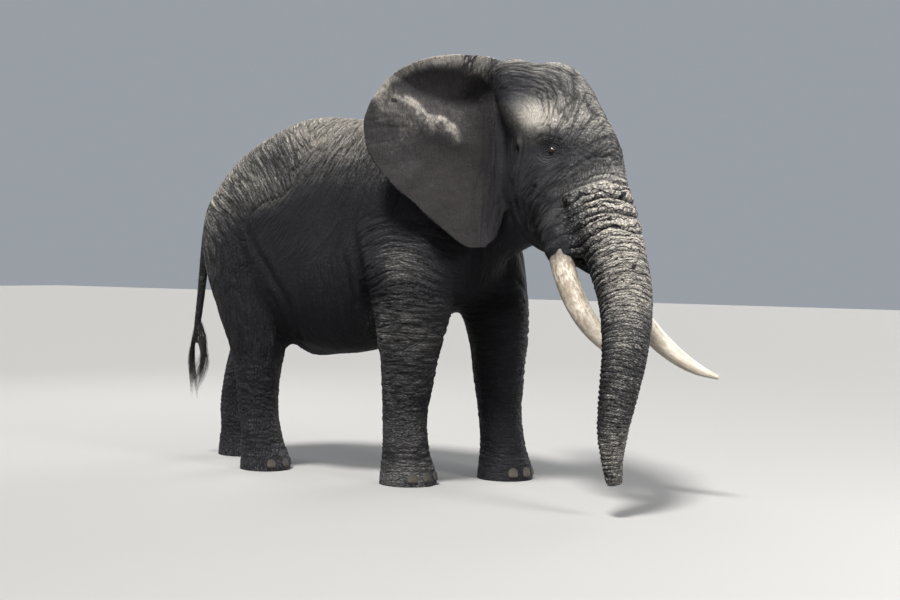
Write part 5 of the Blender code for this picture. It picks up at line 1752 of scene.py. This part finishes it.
lines = base[:, None] + (normal[:, None] * (0.80 * t - 0.35 * t**2)[None, :, None]
                         + lay_down[:, None] * (0.25 * t + 0.6 * t**2)[None, :, None]) \
    * length[:, None, None] - 0.001 * normal[:, None]
bristles = hairs("bristles", lines, dice.uniform(0.0003, 0.0006, BRISTLES))
finish_piece(bristles, black, "tail_hair")
print("bristles", BRISTLES)

# %% [markdown]
# ## Stage
# A plain grey floor under an even pale sky. The key light is high on the animal's
# right: a sun, because its rays stay parallel over a large model, with a wide angle
# that softens the shadows. A weak sun fills in the far side, and two round lamps in
# front and behind model the head and the rump.

# %% Floor and light
def floor():
    mesh = bpy.data.meshes.new("floor")
    bm = bmesh.new()
    bmesh.ops.create_grid(bm, x_segments=1, y_segments=1, size=60)
    bm.to_mesh(mesh)
    bm.free()
    made = bpy.data.objects.new("floor", mesh)
    bpy.context.scene.collection.objects.link(made)
    material, tree, shader = new_material("pale_floor")
    shader.inputs["Base Color"].default_value = (0.190, 0.188, 0.185, 1)
    shader.inputs["Roughness"].default_value = 0.9
    mesh.materials.append(material)
    made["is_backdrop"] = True


def lamp(name, kind, place, target, size, power, colour=(1, 1, 1)):
    """A round area light, or a sun whose size is its angle in degrees."""
    light = bpy.data.lights.new(name, kind)
    light.energy, light.color = power, colour
    if kind == "SUN":
        light.angle = math.radians(size)
    else:
        light.shape, light.size = "DISK", size
    made = bpy.data.objects.new(name, light)
    made.location = place
    made.rotation_mode = "QUATERNION"
    made.rotation_quaternion = (Vector(target) - Vector(place)).to_track_quat("-Z", "Y")
    bpy.context.scene.collection.objects.link(made)


floor()
MIDDLE = (-0.2, 0, 1.9)
lamp("key", "SUN", (-0.6, -4.0, 10.5), MIDDLE, 12, 8.5, (1.0, 0.98, 0.94))
lamp("front", "AREA", (8.5, -2.5, 5.5), (1.2, 0, 2.2), 3.0, 900, (1.0, 0.99, 0.96))
lamp("back", "AREA", (-8.0, 4.0, 7.0), MIDDLE, 5.0, 500)
lamp("far_side", "SUN", (2.5, 8.0, 5.5), MIDDLE, 40, 1.8)
world = bpy.data.worlds.new("studio")
bpy.context.scene.world = world
world.use_nodes = True
sky = world.node_tree.nodes["Background"]
sky.inputs["Color"].default_value = (0.80, 0.86, 0.95, 1)
sky.inputs["Strength"].default_value = 0.40

# %% [markdown]
# ## Camera
# The camera stands about twelve metres off, ahead of the animal's right side and not
# quite two metres above the floor, and looks slightly down. `TILT` rolls it by one
# degree, as a camera held by hand is.

# %% Camera
CAMERA_PLACE = Vector((5.773, -10.906, 1.92))
LOOKING = math.radians(27)
PITCH = math.radians(1.51)
TILT = math.radians(1.0)
FOCAL_LENGTH, SENSOR_WIDTH = 55.2, 36
camera = bpy.data.objects.new("camera", bpy.data.cameras.new("camera"))
bpy.context.scene.collection.objects.link(camera)
ahead_of_camera = Vector((-math.sin(LOOKING) * math.cos(PITCH),
                          math.cos(LOOKING) * math.cos(PITCH), -math.sin(PITCH)))
camera.location = CAMERA_PLACE
camera.rotation_mode = "QUATERNION"
level_turn = ahead_of_camera.to_track_quat("-Z", "Y")
camera.rotation_quaternion = level_turn @ Matrix.Rotation(TILT, 4, "Z").to_quaternion()
camera.data.lens = FOCAL_LENGTH
camera.data.sensor_width = SENSOR_WIDTH
camera.data.clip_end = 200
bpy.context.scene.camera = camera
bpy.context.scene.view_settings.view_transform = "Standard"
bpy.context.scene.view_settings.exposure = 0.0
print("camera at", [round(v, 2) for v in camera.location])

# %% Sizes and finish
low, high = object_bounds()
print("visual box", [round(v, 2) for v in (*low, *high)])
